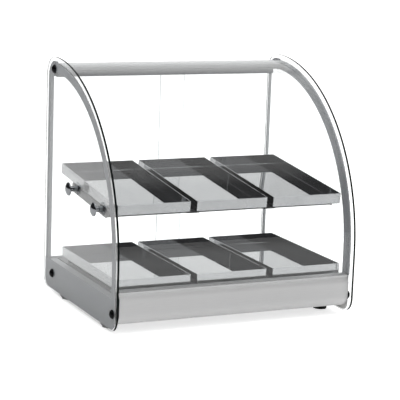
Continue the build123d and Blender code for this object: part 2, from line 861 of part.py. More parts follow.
# Deck: the raised hot plate with its skirt and flanges
def deck():
    height = deck_top_z - end_panel_top_z
    length = deck_rear_y - deck_front_y
    middle_y = (deck_rear_y + deck_front_y) / 2
    base = Plane((0, middle_y, end_panel_top_z))
    top = extrude(
        base * RectangleRounded(2 * deck_half_width, length, deck_corner_radius), amount=height
    )
    top = fillet(top.edges().group_by(Axis.Z)[-1], deck_edge_radius)
    hollow = extrude(
        base
        * RectangleRounded(
            2 * (deck_half_width - sheet_gauge),
            length - 2 * sheet_gauge,
            deck_corner_radius - sheet_gauge,
        ),
        amount=height - sheet_gauge,
    )
    hollow = fillet(hollow.edges().group_by(Axis.Z)[-1], deck_edge_radius - sheet_gauge)
    flange_z = (end_panel_top_z, end_panel_top_z + sheet_gauge)
    reach = deck_half_width + deck_flange
    body = top
    for side in (-1, 1):
        ends = sorted((side * (deck_half_width - sheet_gauge), side * reach))
        body += block(ends, (deck_front_y + deck_corner_radius, deck_flange_y), flange_z)
    body += block((-reach, reach), (deck_rear_y - sheet_gauge, deck_flange_y), flange_z)
    body -= hollow
    shelf_reach = front_sheet_shelf_half_width + end_gap
    body -= block(
        (-shelf_reach, shelf_reach),
        (deck_front_y - 1, sheet_back_y + front_sheet_shelf + 1),
        (end_panel_top_z - 1, end_panel_top_z + sheet_gauge),
    )
    for side in (-1, 1):
        for y in (deck_screw_front_y, deck_screw_rear_y):
            hole = deck_screw_diameter + 2 * pin_gap
            body -= rod_z(side * deck_screw_x, y, (flange_z[0] - 1, flange_z[1] + 1), hole)
    return body


def pan_screw(diameter, head, head_height, length):
    """A screw pointing down from its seat at the origin, with a domed head above."""
    head_shape = rod_z(0, 0, (0, head_height), head)
    head_shape = fillet(head_shape.edges().group_by(Axis.Z)[-1], head_height * 0.6)
    head_shape -= rod_z(0, 0, (head_height * 0.45, head_height + 1), diameter * 0.6)
    return head_shape + rod_z(0, 0, (-length, 0), diameter)


def deck_screws():
    seat_z = end_panel_top_z + sheet_gauge
    screw = pan_screw(deck_screw_diameter, deck_screw_head, deck_screw_head_height, deck_screw_length)
    screws = []
    for side in (-1, 1):
        for y in (deck_screw_front_y, deck_screw_rear_y):
            screws.append(Pos(side * deck_screw_x, y, seat_z) * screw)
    return screws


save("deck", deck())
save("deck_screws", *deck_screws())


# Trays: open pans with rounded corners
def tray():
    """A tray with its front bottom edge on X, lying along +Y, centred on x = 0."""
    place = Pos(0, tray_length / 2, 0)
    outer = extrude(RectangleRounded(tray_width, tray_length, tray_corner_radius), amount=tray_height)
    outer = fillet(outer.edges().group_by(Axis.Z)[0], tray_floor_radius)
    inner = extrude(
        Plane.XY.offset(tray_wall)
        * RectangleRounded(
            tray_width - 2 * tray_wall,
            tray_length - 2 * tray_wall,
            tray_corner_radius - tray_wall,
        ),
        amount=tray_height,
    )
    inner = fillet(inner.edges().group_by(Axis.Z)[0], tray_floor_radius - tray_wall)
    return place * (outer - inner)


tray_shape = tray()
for number in range(tray_count):
    x = (number - (tray_count - 1) / 2) * tray_pitch
    low_place = Pos(x, lower_tray_front_y, deck_top_z + rest_gap)
    high_place = shelf_place * Pos(x + upper_row_shift, 0, rest_gap)
    save("lower_tray_" + str(number + 1), low_place * tray_shape)
    save("upper_tray_" + str(number + 1), high_place * tray_shape)


# Sloping shelf: two side bars and a welded grid, held by knobs on the left and screws on the right
def shelf_side_bar(side):
    x = sorted((side * shelf_bar_outer_x, side * shelf_bar_inner_x))
    y = (
        shelf_crossbar_front - shelf_side_overhang,
        shelf_crossbar_rear + shelf_side_overhang,
    )
    bar = block(x, y, (-shelf_bar_height, 0))
    for along in (shelf_knob_front, shelf_knob_rear):
        hole = knob_stem_diameter + 2 * pin_gap
        bar -= rod_x((x[0] - 1, x[1] + 1), along, -shelf_knob_drop, hole)
    for along in (shelf_crossbar_front, shelf_crossbar_rear):
        hole = shelf_bolt_diameter + 2 * pin_gap
        bar -= rod_x((x[0] - 1, x[1] + 1), along + bolt_offset(along), bolt_z, hole)
    return shelf_place * bar


bolt_z = -shelf_bar_height / 2


def bolt_offset(along):
    """Bolts pass the tab of a crossbar, which folds towards the middle of the shelf."""
    tab = shelf_bar_gauge + shelf_crossbar_leg / 2
    return tab if along == shelf_crossbar_front else -tab


def shelf_crossbar(along):
    inward = 1 if along == shelf_crossbar_front else -1
    half = shelf_bar_inner_x
    upright = sorted((along, along + inward * shelf_bar_gauge))
    leg = sorted((along, along + inward * (shelf_bar_gauge + shelf_crossbar_leg)))
    bar = block((-half, half), upright, (-shelf_bar_height, 0))
    bar += block((-half, half), leg, (-shelf_bar_gauge, 0))
    for side in (-1, 1):
        tab = sorted((side * half, side * (half - shelf_bar_gauge)))
        bar += block(tab, leg, (-shelf_bar_height, 0))
        centre = along + bolt_offset(along)
        hole = shelf_bolt_diameter + 2 * pin_gap
        bar -= rod_x((tab[0] - 1, tab[1] + 1), centre, bolt_z, hole)
    return bar


def shelf_grid():
    """The crossbars, welded to the flat bars under the gaps between the trays."""
    grid = shelf_crossbar(shelf_crossbar_front) + shelf_crossbar(shelf_crossbar_rear)
    half = tray_bar_width / 2
    length = (tray_bar_inset, tray_length - tray_bar_inset)
    for number in range(tray_count - 1):
        x = upper_row_shift + (number - (tray_count - 2) / 2) * tray_pitch
        grid += block((x - half, x + half), length, (-shelf_bar_gauge, 0))
    return shelf_place * grid


def shelf_bolts():
    bolts = []
    for along in (shelf_crossbar_front, shelf_crossbar_rear):
        for side in (-1, 1):
            inner = shelf_bar_inner_x - shelf_bar_gauge
            centre = along + bolt_offset(along)
            head = sorted((side * inner, side * (inner - shelf_bolt_head_height)))
            shank = sorted((side * inner, side * (shelf_bar_outer_x + 2)))
            bolt = rod_x(shank, centre, bolt_z, shelf_bolt_diameter)
            bolt += hex_x(head, centre, bolt_z, shelf_bolt_head)
            bolts.append(shelf_place * bolt)
    return bolts


def domed_disc(x_seat, y, z, diameter, height):
    """A disc standing out along -X from its seat, with a domed outer face."""
    bulge = (diameter / 2) ** 2 / (2 * height) + height / 2
    ball = Pos(x_seat - height + bulge, y, z) * Sphere(bulge)
    return ball & rod_x((x_seat - height - 1, x_seat), y, z, diameter)


def shelf_knobs():
    knobs = []
    for y, z in shelf_fixings:
        neck_x = -half_width - knob_neck_length
        knob = rod_x((-half_width, neck_x), y, z, knob_neck_diameter)
        rim_x = neck_x - knob_rim_thickness
        knob += rod_x((neck_x, rim_x), y, z, knob_diameter)
        knob += domed_disc(rim_x, y, z, knob_diameter, knob_thickness - knob_rim_thickness)
        knob += rod_x((-half_width, -shelf_bar_inner_x), y, z, knob_stem_diameter)
        knobs.append(knob)
    return knobs


def shelf_screws():
    screws = []
    for y, z in shelf_fixings:
        head = rod_x((half_width, half_width + flush_head_height), y, z, flush_head_diameter)
        socket = (half_width + flush_head_height - flush_socket_depth, half_width + knob_thickness)
        head -= rod_x(socket, y, z, knob_stem_diameter / 2)
        screws.append(head + rod_x((shelf_bar_inner_x, half_width), y, z, knob_stem_diameter))
    return screws


def shelf_spacers():
    spacers = []
    for y, z in shelf_fixings:
        for side in (-1, 1):
            x = sorted((side * shelf_bar_outer_x, side * inner_x))
            spacer = rod_x(x, y, z, spacer_diameter)
            hole = knob_stem_diameter + 2 * pin_gap
            spacers.append(spacer - rod_x((x[0] - 1, x[1] + 1), y, z, hole))
    return spacers


save("shelf_side_bar_left", shelf_side_bar(-1))
save("shelf_side_bar_right", shelf_side_bar(1))
save("shelf_grid", shelf_grid())
save("shelf_bolts", *shelf_bolts())
save("shelf_knobs", *shelf_knobs())
save("shelf_screws", *shelf_screws())
save("shelf_spacers", *shelf_spacers())


# Side glass screws and their domed caps
def glass_screw(y, z):
    head_x = (half_width, half_width + glass_screw_head_height)
    screw = rod_x(head_x, y, z, glass_screw_head)
    return screw + rod_x((half_width - glass_screw_length, half_width), y, z, glass_screw_diameter)


def screw_cap(y, z):
    cap = mirrored(domed_disc(-half_width, y, z, cap_diameter, cap_height))
    return cap - rod_x((half_width - 1, half_width + cap_cavity_height), y, z, cap_cavity_diameter)


def both_sides(make, places):
    right = [make(y, z) for y, z in places]
    return right + [mirrored(piece) for piece in right]


save("glass_screws", *both_sides(glass_screw, glass_screw_places))
save("screw_caps", *both_sides(screw_cap, glass_screw_places))


# Feet, and the weld nuts inside the base for the feet and the side glasses
def foot():
    body = Pos(0, 0, foot_height / 2) * Cone(foot_bottom_diameter / 2, foot_top_diameter / 2, foot_height)
    body -= rod_z(0, 0, (-1, foot_recess_depth), foot_screw_head + 2)
    return body - rod_z(0, 0, (0, foot_height + 1), foot_screw_diameter + 2 * pin_gap)


def foot_screw():
    head = rod_z(0, 0, (foot_recess_depth - foot_screw_head_height, foot_recess_depth), foot_screw_head)
    shank = (foot_recess_depth, foot_recess_depth + foot_screw_length)
    return head + rod_z(0, 0, shank, foot_screw_diameter)


def foot_nut():
    nut = hex_z(0, 0, (floor_top_z, floor_top_z + nut_height), nut_flats)
    return nut - rod_z(0, 0, (floor_z, floor_top_z + nut_height + 1), foot_screw_diameter + 2 * pin_gap)


def panel_nut(y, z):
    nut = hex_x((web_x - nut_height, web_x), y, z, nut_flats)
    return nut - rod_x((web_x - nut_height - 1, web_x + 1), y, z, glass_screw_diameter + 2 * pin_gap)


def at_feet(shape):
    return [Pos(x, y, 0) * shape for x in (-foot_x, foot_x) for y in (foot_front_y, foot_rear_y)]


save("feet", *at_feet(foot()))
save("foot_screws", *at_feet(foot_screw()))
save("weld_nuts", *at_feet(foot_nut()), *both_sides(panel_nut, glass_screw_places[1:]))


# Heater under the deck, its clips, and the insulation in its pan
def heater_route():
    tail = [
        (heater_tail_x, heater_tail_y, heater_tail_z),
        (heater_tail_x, heater_tail_y, heater_z),
        (heater_tail_x, heater_rear_y, heater_z),
        (heater_outer_x, heater_rear_y, heater_z),
        (heater_outer_x, heater_front_y, heater_z),
        (heater_inner_x, heater_front_y, heater_z),
        (heater_inner_x, heater_middle_y, heater_z),
    ]
    other = [(-x, y, z) for x, y, z in reversed(tail)]
    return tail + other


def heater_clip(x, y, turn):
    clip_z = (heater_z - heater_diameter / 2 - clip_drop, deck_under_z)
    clip = block((-clip_length / 2, clip_length / 2), (-clip_width / 2, clip_width / 2), clip_z)
    clip -= rod_x((-clip_length, clip_length), 0, heater_z, heater_diameter + 2 * rest_gap)
    arch = (-heater_diameter / 2 - rest_gap, heater_diameter / 2 + rest_gap)
    clip -= block((-clip_length, clip_length), arch, (heater_z, deck_under_z + 1))
    return Pos(x, y, 0) * Rot(0, 0, turn) * clip


def heater_clips():
    middle_leg_y = (heater_front_y + heater_middle_y) / 2
    clips = [heater_clip(0, heater_middle_y, 0)]
    for side in (-1, 1):
        rear_leg_x = (heater_tail_x + heater_outer_x) / 2
        clips.append(heater_clip(side * rear_leg_x, heater_rear_y, 0))
        clips.append(heater_clip(side * heater_outer_x, middle_leg_y, 90))
        clips.append(heater_clip(side * heater_inner_x, middle_leg_y, 90))
    return clips


def insulation():
    pad = block(
        (-insulation_half_width, insulation_half_width),
        (insulation_front_y, insulation_rear_y),
        (insulation_z, insulation_top_z),
    )
    for side in (-1, 1):
        hole_z = (insulation_z - 1, insulation_top_z + 1)
        pad -= rod_z(side * heater_tail_x, heater_tail_y, hole_z, insulation_hole)
    return pad


def insulation_pan():
    x = insulation_half_width + end_gap
    front = insulation_front_y - end_gap
    rear = insulation_rear_y + end_gap
    pan = block(
        (-x - pan_gauge, x + pan_gauge),
        (front - pan_gauge, rear + pan_gauge),
        (pan_z, insulation_z + pan_wall_height),
    )
    pan -= block((-x, x), (front, rear), (insulation_z, insulation_top_z))
    for side in (-1, 1):
        pan -= rod_z(side * heater_tail_x, heater_tail_y, (pan_z - 1, insulation_z + 1), insulation_hole)
    return pan


def pan_stand(x):
    half = stand_width / 2
    length = (-stand_length / 2, stand_length / 2)
    stand = block((x - half, x + half), length, (floor_top_z, pan_z))
    hollow = (x - half + sheet_gauge, x + half - sheet_gauge)
    return stand - block(hollow, length, (floor_top_z - 1, pan_z - sheet_gauge))


def heater_element():
    return tube(heater_route(), heater_bend, heater_diameter)


save("heater_element", heater_element())
save("heater_clips", *heater_clips())
save("insulation", insulation())
save("insulation_pan", insulation_pan())
save("pan_stands", pan_stand(-stand_x), pan_stand(stand_x))


# Thermostat on the rear panel
def thermostat_body():
    half = thermostat_body_width / 2
    tall = thermostat_body_height / 2
    front = rear_panel_front_y - thermostat_body_depth
    body = block(
        (thermostat_x - half, thermostat_x + half),
        (front, rear_panel_front_y),
        (control_z - tall, control_z + tall),
    )
    body = fillet(body.edges().filter_by(Axis.Y), moulded_edge_radius)
    bushing_end = rear_panel_front_y + bushing_length
    body += rod_y(thermostat_x, (rear_panel_front_y - 1, bushing_end), control_z, bushing_diameter)
    bore_y = (rear_panel_front_y - thermostat_body_depth / 2, bushing_end + 1)
    return body - rod_y(thermostat_x, bore_y, control_z, shaft_diameter + 2 * pin_gap)


def thermostat_nut():
    nut = hex_y(
        thermostat_x, (rear_panel_y, rear_panel_y + bushing_nut_height), control_z, bushing_nut_flats
    )
    bore = (rear_panel_y - 1, rear_panel_y + bushing_nut_height + 1)
    return nut - rod_y(thermostat_x, bore, control_z, bushing_diameter + 2 * pin_gap)


knob_seat_y = rear_panel_y + bushing_length
knob_end_y = knob_seat_y + thermostat_knob_length


def thermostat_shaft():
    inner = rear_panel_front_y - thermostat_body_depth / 2 + slide_gap
    return rod_y(thermostat_x, (inner, knob_end_y - knob_cap_wall), control_z, shaft_diameter)


def thermostat_knob():
    top = thermostat_knob_diameter / 2 - thermostat_knob_taper
    skirt = thermostat_knob_length - knob_bar_height
    knob = Plane((thermostat_x, knob_seat_y, control_z), x_dir=(1, 0, 0), z_dir=(0, 1, 0))
    body = knob * Pos(0, 0, skirt / 2) * Cone(thermostat_knob_diameter / 2, top, skirt)
    bar = block((-top, top), (-knob_bar_width / 2, knob_bar_width / 2), (skirt - 1, thermostat_knob_length))
    bar = fillet(bar.edges().filter_by(Axis.Z), knob_bar_width / 2 - 0.5)
    pointer_z = (thermostat_knob_length - knob_pointer_depth, thermostat_knob_length + 1)
    pointer_y = (-knob_pointer_width / 2, knob_pointer_width / 2)
    pointer = block((top - knob_pointer_length, top + 1), pointer_y, pointer_z)
    body += knob * Rot(0, 0, 90) * (bar - pointer)
    bore = (knob_seat_y - 1, knob_end_y - knob_cap_wall)
    return body - rod_y(thermostat_x, bore, control_z, shaft_diameter)


def thermostat_bulb():
    front = rear_panel_front_y - thermostat_body_depth
    drop_y = (insulation_rear_y + deck_rear_y) / 2
    bulb_z = deck_under_z - bulb_diameter / 2 - rest_gap
    bulb_y = insulation_rear_y - bulb_inset
    start_x = thermostat_x + bulb_start
    line = [
        (thermostat_x, front, control_z),
        (thermostat_x, drop_y, control_z),
        (thermostat_x, drop_y, bulb_z),
        (thermostat_x, bulb_y, bulb_z),
        (start_x + 1, bulb_y, bulb_z),
    ]
    capillary = tube(line, capillary_bend, capillary_diameter)
    return capillary + rod_x((start_x, start_x + bulb_length), bulb_y, bulb_z, bulb_diameter)


save("thermostat_body", thermostat_body())
save("thermostat_nut", thermostat_nut())
save("thermostat_shaft", thermostat_shaft())
save("thermostat_knob", thermostat_knob())
save("thermostat_bulb", thermostat_bulb())


# Rocker switch
rocker_pivot_y = rear_panel_y + switch_bezel_gauge - rocker_pivot_depth


def switch_body():
    bezel = block(
        (switch_x - switch_bezel_width / 2, switch_x + switch_bezel_width / 2),
        (rear_panel_y, rear_panel_y + switch_bezel_gauge),
        (control_z - switch_bezel_height / 2, control_z + switch_bezel_height / 2),
    )
    bezel = fillet(bezel.edges().filter_by(Axis.Y), moulded_edge_radius)
    housing = block(
        (switch_x - switch_body_width / 2, switch_x + switch_body_width / 2),
        (rear_panel_y - switch_body_depth, rear_panel_y + 0.1),
        (control_z - switch_body_height / 2, control_z + switch_body_height / 2),
    )
    face_y = rear_panel_y + switch_bezel_gauge
    pocket = block(
        (switch_x - switch_pocket_width / 2, switch_x + switch_pocket_width / 2),
        (face_y - switch_pocket_depth, face_y + 1),
        (control_z - switch_pocket_height / 2, control_z + switch_pocket_height / 2),
    )
    body = bezel + housing - pocket
    reach = rocker_width / 2 + rocker_pin_length + rest_gap
    socket = rocker_pin_diameter + 2 * pin_gap
    return body - rod_x((switch_x - reach, switch_x + reach), rocker_pivot_y, control_z, socket)


def switch_rocker():
    outline = [
        (rocker_rise, rocker_half_height),
        (rocker_valley, 0),
        (rocker_rise, -rocker_half_height),
        (0, -rocker_half_height),
        (-rocker_valley, -rocker_valley / 2),
        (-rocker_valley, rocker_valley / 2),
        (0, rocker_half_height),
    ]
    face = make_face(Polyline(*outline, close=True))
    rocker = along_x(face, (-rocker_width / 2, rocker_width / 2))
    reach = rocker_width / 2 + rocker_pin_length
    rocker += rod_x((-reach, reach), 0, 0, rocker_pin_diameter)
    return Pos(switch_x, rocker_pivot_y, control_z) * Rot(rocker_tilt, 0, 0) * rocker


save("switch_body", switch_body())
save("switch_rocker", switch_rocker())


# Pilot lamp
def pilot_lamp_body():
    flange = (rear_panel_y, rear_panel_y + lamp_flange_gauge)
    body = rod_y(lamp_x, flange, control_z, lamp_flange_diameter)
    barrel = (rear_panel_y - lamp_body_length, rear_panel_y + 0.1)
    body += rod_y(lamp_x, barrel, control_z, lamp_body_diameter)
    seat = (rear_panel_y - 2, rear_panel_y + 3)
    return body - rod_y(lamp_x, seat, control_z, lamp_lens_diameter)


def pilot_lamp_lens():
    radius = lamp_lens_diameter / 2
    base_y = rear_panel_y + lamp_flange_gauge
    lens = rod_y(lamp_x, (rear_panel_y - 2, base_y), control_z, lamp_lens_diameter)
    bulge = radius**2 / (2 * lamp_lens_height) + lamp_lens_height / 2
    dome = Pos(lamp_x, base_y + lamp_lens_height - bulge, control_z) * Sphere(bulge)
    cap = rod_y(lamp_x, (base_y - 0.1, base_y + lamp_lens_height + 1), control_z, lamp_lens_diameter)
    return lens + (dome & cap)


save("pilot_lamp_body", pilot_lamp_body())
save("pilot_lamp_lens", pilot_lamp_lens())


# Cable gland and earth stud on the rear panel
def cable_gland_body():
    hex_end = rear_panel_y + gland_hex_height
    body = hex_y(gland_x, (rear_panel_y, hex_end), control_z, gland_hex_flats)
    thread = (rear_panel_y - gland_thread_length, rear_panel_y + 1)
    body += rod_y(gland_x, thread, control_z, gland_thread_diameter)
    bore = (rear_panel_y - gland_thread_length - 1, hex_end + 1)
    return body - rod_y(gland_x, bore, control_z, gland_bore + 2)


def cable_gland_nut():
    start = rear_panel_y + gland_hex_height
    end = start + gland_nut_length
    body = rod_y(gland_x, (start, end), control_z, gland_nut_diameter)
    body = fillet(body.edges().filter_by(GeomType.CIRCLE).sort_by(Axis.Y)[-1], gland_nut_round)
    return body - rod_y(gland_x, (start - 1, end + 1), control_z, gland_bore)


def cable_gland_locknut():
    start = rear_panel_front_y - gland_locknut_height
    nut = hex_y(gland_x, (start, rear_panel_front_y), control_z, gland_hex_flats)
    bore = (start - 1, rear_panel_front_y + 1)
    return nut - rod_y(gland_x, bore, control_z, gland_thread_diameter + 2 * pin_gap)


def earth_stud():
    start = rear_panel_front_y - earth_stud_inside
    bolt = rod_y(earth_stud_x, (start, start + earth_stud_length), control_z, earth_stud_diameter)
    inner_y = (rear_panel_front_y - earth_nut_height, rear_panel_front_y)
    outer_y = (rear_panel_y, rear_panel_y + earth_nut_height)
    inner = hex_y(earth_stud_x, inner_y, control_z, earth_nut_flats)
    outer = hex_y(earth_stud_x, outer_y, control_z, earth_nut_flats)
    return bolt + inner + outer


def panel_screws():
    screw = pan_screw(panel_screw_diameter, panel_screw_head, panel_screw_head_height, panel_screw_length)
    screws = []
    for side in (-1, 1):
        for z in (panel_screw_low_z, panel_screw_high_z):
            place = Location((side * panel_screw_x, rear_panel_y, z), (-90, 0, 0))
            screws.append(place * screw)
    return screws


save("cable_gland_body", cable_gland_body())
save("cable_gland_nut", cable_gland_nut())
save("cable_gland_locknut", cable_gland_locknut())
save("earth_stud", earth_stud())
save("panel_screws", *panel_screws())


# Terminal block and wiring in the base
def terminal_block():
    x = (terminal_x - terminal_length / 2, terminal_x + terminal_length / 2)
    y = (terminal_y - terminal_width / 2, terminal_y + terminal_width / 2)
    top = floor_top_z + terminal_height
    body = block(x, y, (floor_top_z, top))
    pitch = terminal_length / terminal_count
    for number in range(terminal_count):
        centre = x[0] + (number + 0.5) * pitch
        for row in (-1, 1):
            screw_z = (top - terminal_screw_depth, top + 1)
            body -= rod_z(centre, terminal_y + row * terminal_width / 4, screw_z, pitch / 2)
    return body


wire_z = floor_top_z + terminal_height / 2
wire_rear_y = terminal_y + terminal_width / 2
wire_turn_y = (wire_rear_y + rear_panel_y - switch_body_depth) / 2


def wire(points):
    return tube(points, wire_bend, wire_diameter)


def wiring():
    pitch = terminal_length / terminal_count
    pins = [terminal_x + (number - (terminal_count - 1) / 2) * pitch for number in range(terminal_count)]
    switch_y = rear_panel_y - switch_body_depth
    thermostat_y = rear_panel_front_y - thermostat_body_depth
    lamp_y = rear_panel_y - lamp_body_length
    low = control_z - wire_tab_offset
    high = control_z + wire_tab_offset
    lamp_z = low + 2 * wire_lane
    return_z = low - 2 * wire_lane
    rear_lane_y = wire_turn_y - wire_tab_offset
    lamp_lane_y = wire_turn_y + wire_lane
    left_tab_x = switch_x - wire_tab_offset
    right_tab_x = switch_x + wire_tab_offset
    thermostat_tab_x = thermostat_x - wire_side_tab_offset
    lamp_tab_x = lamp_x - wire_lamp_offset
    front_y = terminal_y - terminal_width / 2
    return_y = heater_tail_y - wire_far_reach
    return [
        wire([
            (pins[3], wire_rear_y, wire_z),
            (pins[3], wire_turn_y, wire_z),
            (left_tab_x, wire_turn_y, low),
            (left_tab_x, switch_y, low),
        ]),
        wire([
            (right_tab_x, switch_y, high),
            (right_tab_x, rear_lane_y, high),
            (thermostat_tab_x, rear_lane_y, high),
            (thermostat_tab_x, thermostat_y, high),
        ]),
        wire([
            (right_tab_x, switch_y, low),
            (right_tab_x, lamp_lane_y, low),
            (lamp_tab_x, lamp_lane_y, lamp_z),
            (lamp_tab_x, lamp_y, lamp_z),
        ]),
        wire([
            (thermostat_tab_x, thermostat_y, low),
            (thermostat_tab_x, heater_tail_y + wire_reach + 2 * wire_lane, low),
            (heater_tail_x, heater_tail_y + wire_reach, low),
            (heater_tail_x, heater_tail_y, low),
            (heater_tail_x, heater_tail_y, heater_tail_z),
        ]),
        wire([
            (pins[1], front_y, wire_z),
            (pins[1], return_y, wire_z),
            (-heater_tail_x, return_y, return_z),
            (-heater_tail_x, heater_tail_y, return_z),
            (-heater_tail_x, heater_tail_y, heater_tail_z),
        ]),
    ]


save("terminal_block", terminal_block())
save("wiring", *wiring())
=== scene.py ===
"""Looks of a heated counter display case: glass, polished trays, grey frames, inner parts."""

from math import cos, radians, sin

import bmesh
import bpy
from mathutils import Matrix, Vector


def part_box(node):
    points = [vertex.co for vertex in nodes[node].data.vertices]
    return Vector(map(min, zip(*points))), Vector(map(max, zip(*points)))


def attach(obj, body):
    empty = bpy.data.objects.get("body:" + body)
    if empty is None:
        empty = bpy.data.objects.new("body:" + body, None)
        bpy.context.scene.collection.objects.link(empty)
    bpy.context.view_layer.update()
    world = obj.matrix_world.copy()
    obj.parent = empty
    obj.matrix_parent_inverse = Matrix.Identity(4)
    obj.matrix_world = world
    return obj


bl_info = {
    "name": "Heated display case",
    "version": (1, 0, 0),
    "blender": (4, 5, 0),
    "location": "View3D > Sidebar > Display case",
    "description": "Dresses the packed model of a heated counter display case",
    "category": "Object",
}

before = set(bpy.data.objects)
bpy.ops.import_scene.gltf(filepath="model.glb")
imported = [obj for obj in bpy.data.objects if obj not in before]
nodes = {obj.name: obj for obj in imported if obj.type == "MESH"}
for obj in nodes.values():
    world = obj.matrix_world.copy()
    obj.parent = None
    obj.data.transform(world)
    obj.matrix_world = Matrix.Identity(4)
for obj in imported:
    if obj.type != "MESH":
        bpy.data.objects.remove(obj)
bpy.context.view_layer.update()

MM = 0.001
X_AXIS = 0
Y_AXIS = 1
FACING = 0.5  # a face looks along a direction if its normal leans less than 60 degrees from it
PATTERN_RANGE = {"From Min": 0.3, "From Max": 0.7}  # most of a pattern's values lie here

# What metal and glass mirror: a dim room with a white ceiling and a white backdrop behind.
BACKDROP_WAY = (0.43, 0.90, 0.0)
BACKDROP_EDGE = (0.72, 0.88)  # how far a direction agrees with that way
CEILING_EDGE = (0.5, 0.72)  # height of a direction
WALL_EDGE = (-0.1, 0.3)  # from the dark walls on the left to the paler ones on the right
DARK_WALL = (0.035, 0.035, 0.037)
PALE_WALL = (0.2, 0.2, 0.205)
WHITE = (1.0, 1.0, 1.0)

# name, place and size in metres, and which of the stage's powers it has
SOFTBOXES = (
    ("key_softbox", (-1.2, -1.6, 2.4), (1.6, 1.6), "key_power"),
    ("fill_softbox", (1.9, -1.2, 1.8), (1.4, 1.4), "fill_power"),
    ("top_softbox", (0.0, 0.9, 2.6), (2.0, 1.2), "top_power"),
)
LAMPS_AIM = (0.0, 0.0, 0.2)

# The dial's scale: a ring segment that gets wider as the setting rises
SCALE_START = radians(-225)
SCALE_SWEEP = radians(270)
SCALE_STEPS = 54
SCALE_GAP = 3 * MM
SCALE_THIN = 0.6 * MM
SCALE_THICK = 4.0 * MM
SCALE_INK = 0.12 * MM
SCALE_SUNK = 0.01 * MM
WELD = 0.001 * MM


def linear(code):
    """A colour for a shader from an sRGB hex value such as 8A8C8F."""
    channels = [int(code[i:i + 2], 16) / 255 for i in (0, 2, 4)]
    return tuple(c / 12.92 if c <= 0.04045 else ((c + 0.055) / 1.055) ** 2.4 for c in channels)


def per_metre(millimetres):
    """The texture scale that gives a pattern of this size."""
    return 1 / (millimetres * MM)


class CaseGlassSettings(bpy.types.PropertyGroup):
    tint: bpy.props.FloatVectorProperty(
        name="Glass tint", description="Colour of light through the panes",
        default=linear("FDFEFE"), subtype="COLOR", min=0.0, max=1.0,
    )
    # near-black painted on the side panes' edges for the dark reflection seen along the glass
    edge: bpy.props.FloatVectorProperty(
        name="Glass edge", description="Colour seen in the polished edges of the side panes",
        default=linear("060A0A"), subtype="COLOR", min=0.0, max=1.0,
    )
    index: bpy.props.FloatProperty(
        name="Refraction index", description="Refraction index of soda-lime float glass",
        default=1.5, min=1.0, max=2.0,
    )
    ripple: bpy.props.FloatProperty(
        name="Ripple length", description="Length of the faint waves left by heat bending",
        default=0.12, min=0.02, max=0.5, unit="LENGTH",
    )


class CaseMetalSettings(bpy.types.PropertyGroup):
    frame_grey: bpy.props.FloatVectorProperty(
        name="Frame grey", description="Powder coat of the frames and end panels",
        default=linear("86878A"), subtype="COLOR", min=0.0, max=1.0,
    )
    polished: bpy.props.FloatVectorProperty(
        name="Polished steel", description="Colour of the mirror-polished trays",
        default=linear("C1C2C3"), subtype="COLOR", min=0.0, max=1.0,
    )
    satin: bpy.props.FloatVectorProperty(
        name="Satin steel", description="Colour of the base front",
        default=linear("E8E8E8"), subtype="COLOR", min=0.0, max=1.0,
    )
    aluminium: bpy.props.FloatVectorProperty(
        name="Anodised aluminium", description="Colour of the top bar and the door rail",
        default=linear("8E9092"), subtype="COLOR", min=0.0, max=1.0,
    )


class CasePlasticSettings(bpy.types.PropertyGroup):
    black: bpy.props.FloatVectorProperty(
        name="Black plastic", description="Screw caps, controls, cable gland and door runners",
        default=linear("050506"), subtype="COLOR", min=0.0, max=1.0,
    )
    lens: bpy.props.FloatVectorProperty(
        name="Lamp lens", description="Lens of the pilot lamp",
        default=linear("E0761A"), subtype="COLOR", min=0.0, max=1.0,
    )
    mark_white: bpy.props.FloatVectorProperty(
        name="Marks", description="Ink of the scale round the thermostat's knob",
        default=linear("E8E8E4"), subtype="COLOR", min=0.0, max=1.0,
    )


class CaseStageSettings(bpy.types.PropertyGroup):
    eye: bpy.props.FloatVectorProperty(
        name="Camera place", description="Where the camera stands",
        default=(-1.5870, -3.3587, 0.9792), subtype="TRANSLATION", unit="LENGTH",
    )
    azimuth: bpy.props.FloatProperty(
        name="Azimuth", description="Turn of the view about the vertical",
        default=radians(-25.37), subtype="ANGLE",
    )
    elevation: bpy.props.FloatProperty(
        name="Elevation", description="How far the camera looks down",
        default=radians(11.06), subtype="ANGLE",
    )
    roll: bpy.props.FloatProperty(
        name="Roll", description="Tilt of the camera about its line of sight",
        default=radians(2.07), subtype="ANGLE",
    )
    lens: bpy.props.FloatProperty(
        name="Lens", description="Focal length in mm on a sensor 36 mm wide", default=143.06,
        min=10.0,
    )
    floor: bpy.props.FloatProperty(
        name="Floor", description="Side of the square floor", default=30.0, unit="LENGTH",
    )
    floor_tone: bpy.props.FloatVectorProperty(
        name="Floor tone", description="Colour of the floor",
        default=linear("E6E6E6"), subtype="COLOR", min=0.0, max=1.0,
    )
    floor_glow: bpy.props.FloatProperty(
        name="Floor glow", description="Lift of the floor towards white where the eye sees it",
        default=0.7, min=0.0, max=1.0,
    )
    room_light: bpy.props.FloatProperty(
        name="Room light", description="Strength of the even light on matt surfaces",
        default=0.9, min=0.0, max=2.0,
    )
    key_power: bpy.props.FloatProperty(
        name="Key", description="Power of the softbox at the front left", default=21.0,
        unit="POWER",
    )
    fill_power: bpy.props.FloatProperty(
        name="Fill", description="Power of the softbox at the front right", default=14.0,
        unit="POWER",
    )
    top_power: bpy.props.FloatProperty(
        name="Top", description="Power of the softbox above the back", default=12.0,
        unit="POWER",
    )


def add(tree, kind, inputs=None, **settings):
    """Adds a node, sets its properties, and sets or links its inputs."""
    node = tree.nodes.new(kind)
    for name, value in settings.items():
        setattr(node, name, value)
    for socket, value in (inputs or {}).items():
        if isinstance(value, bpy.types.NodeSocket):
            tree.links.new(value, node.inputs[socket])
        elif node.inputs[socket].type == "RGBA" and len(value) == 3:
            node.inputs[socket].default_value = (*value, 1.0)
        else:
            node.inputs[socket].default_value = value
    return node


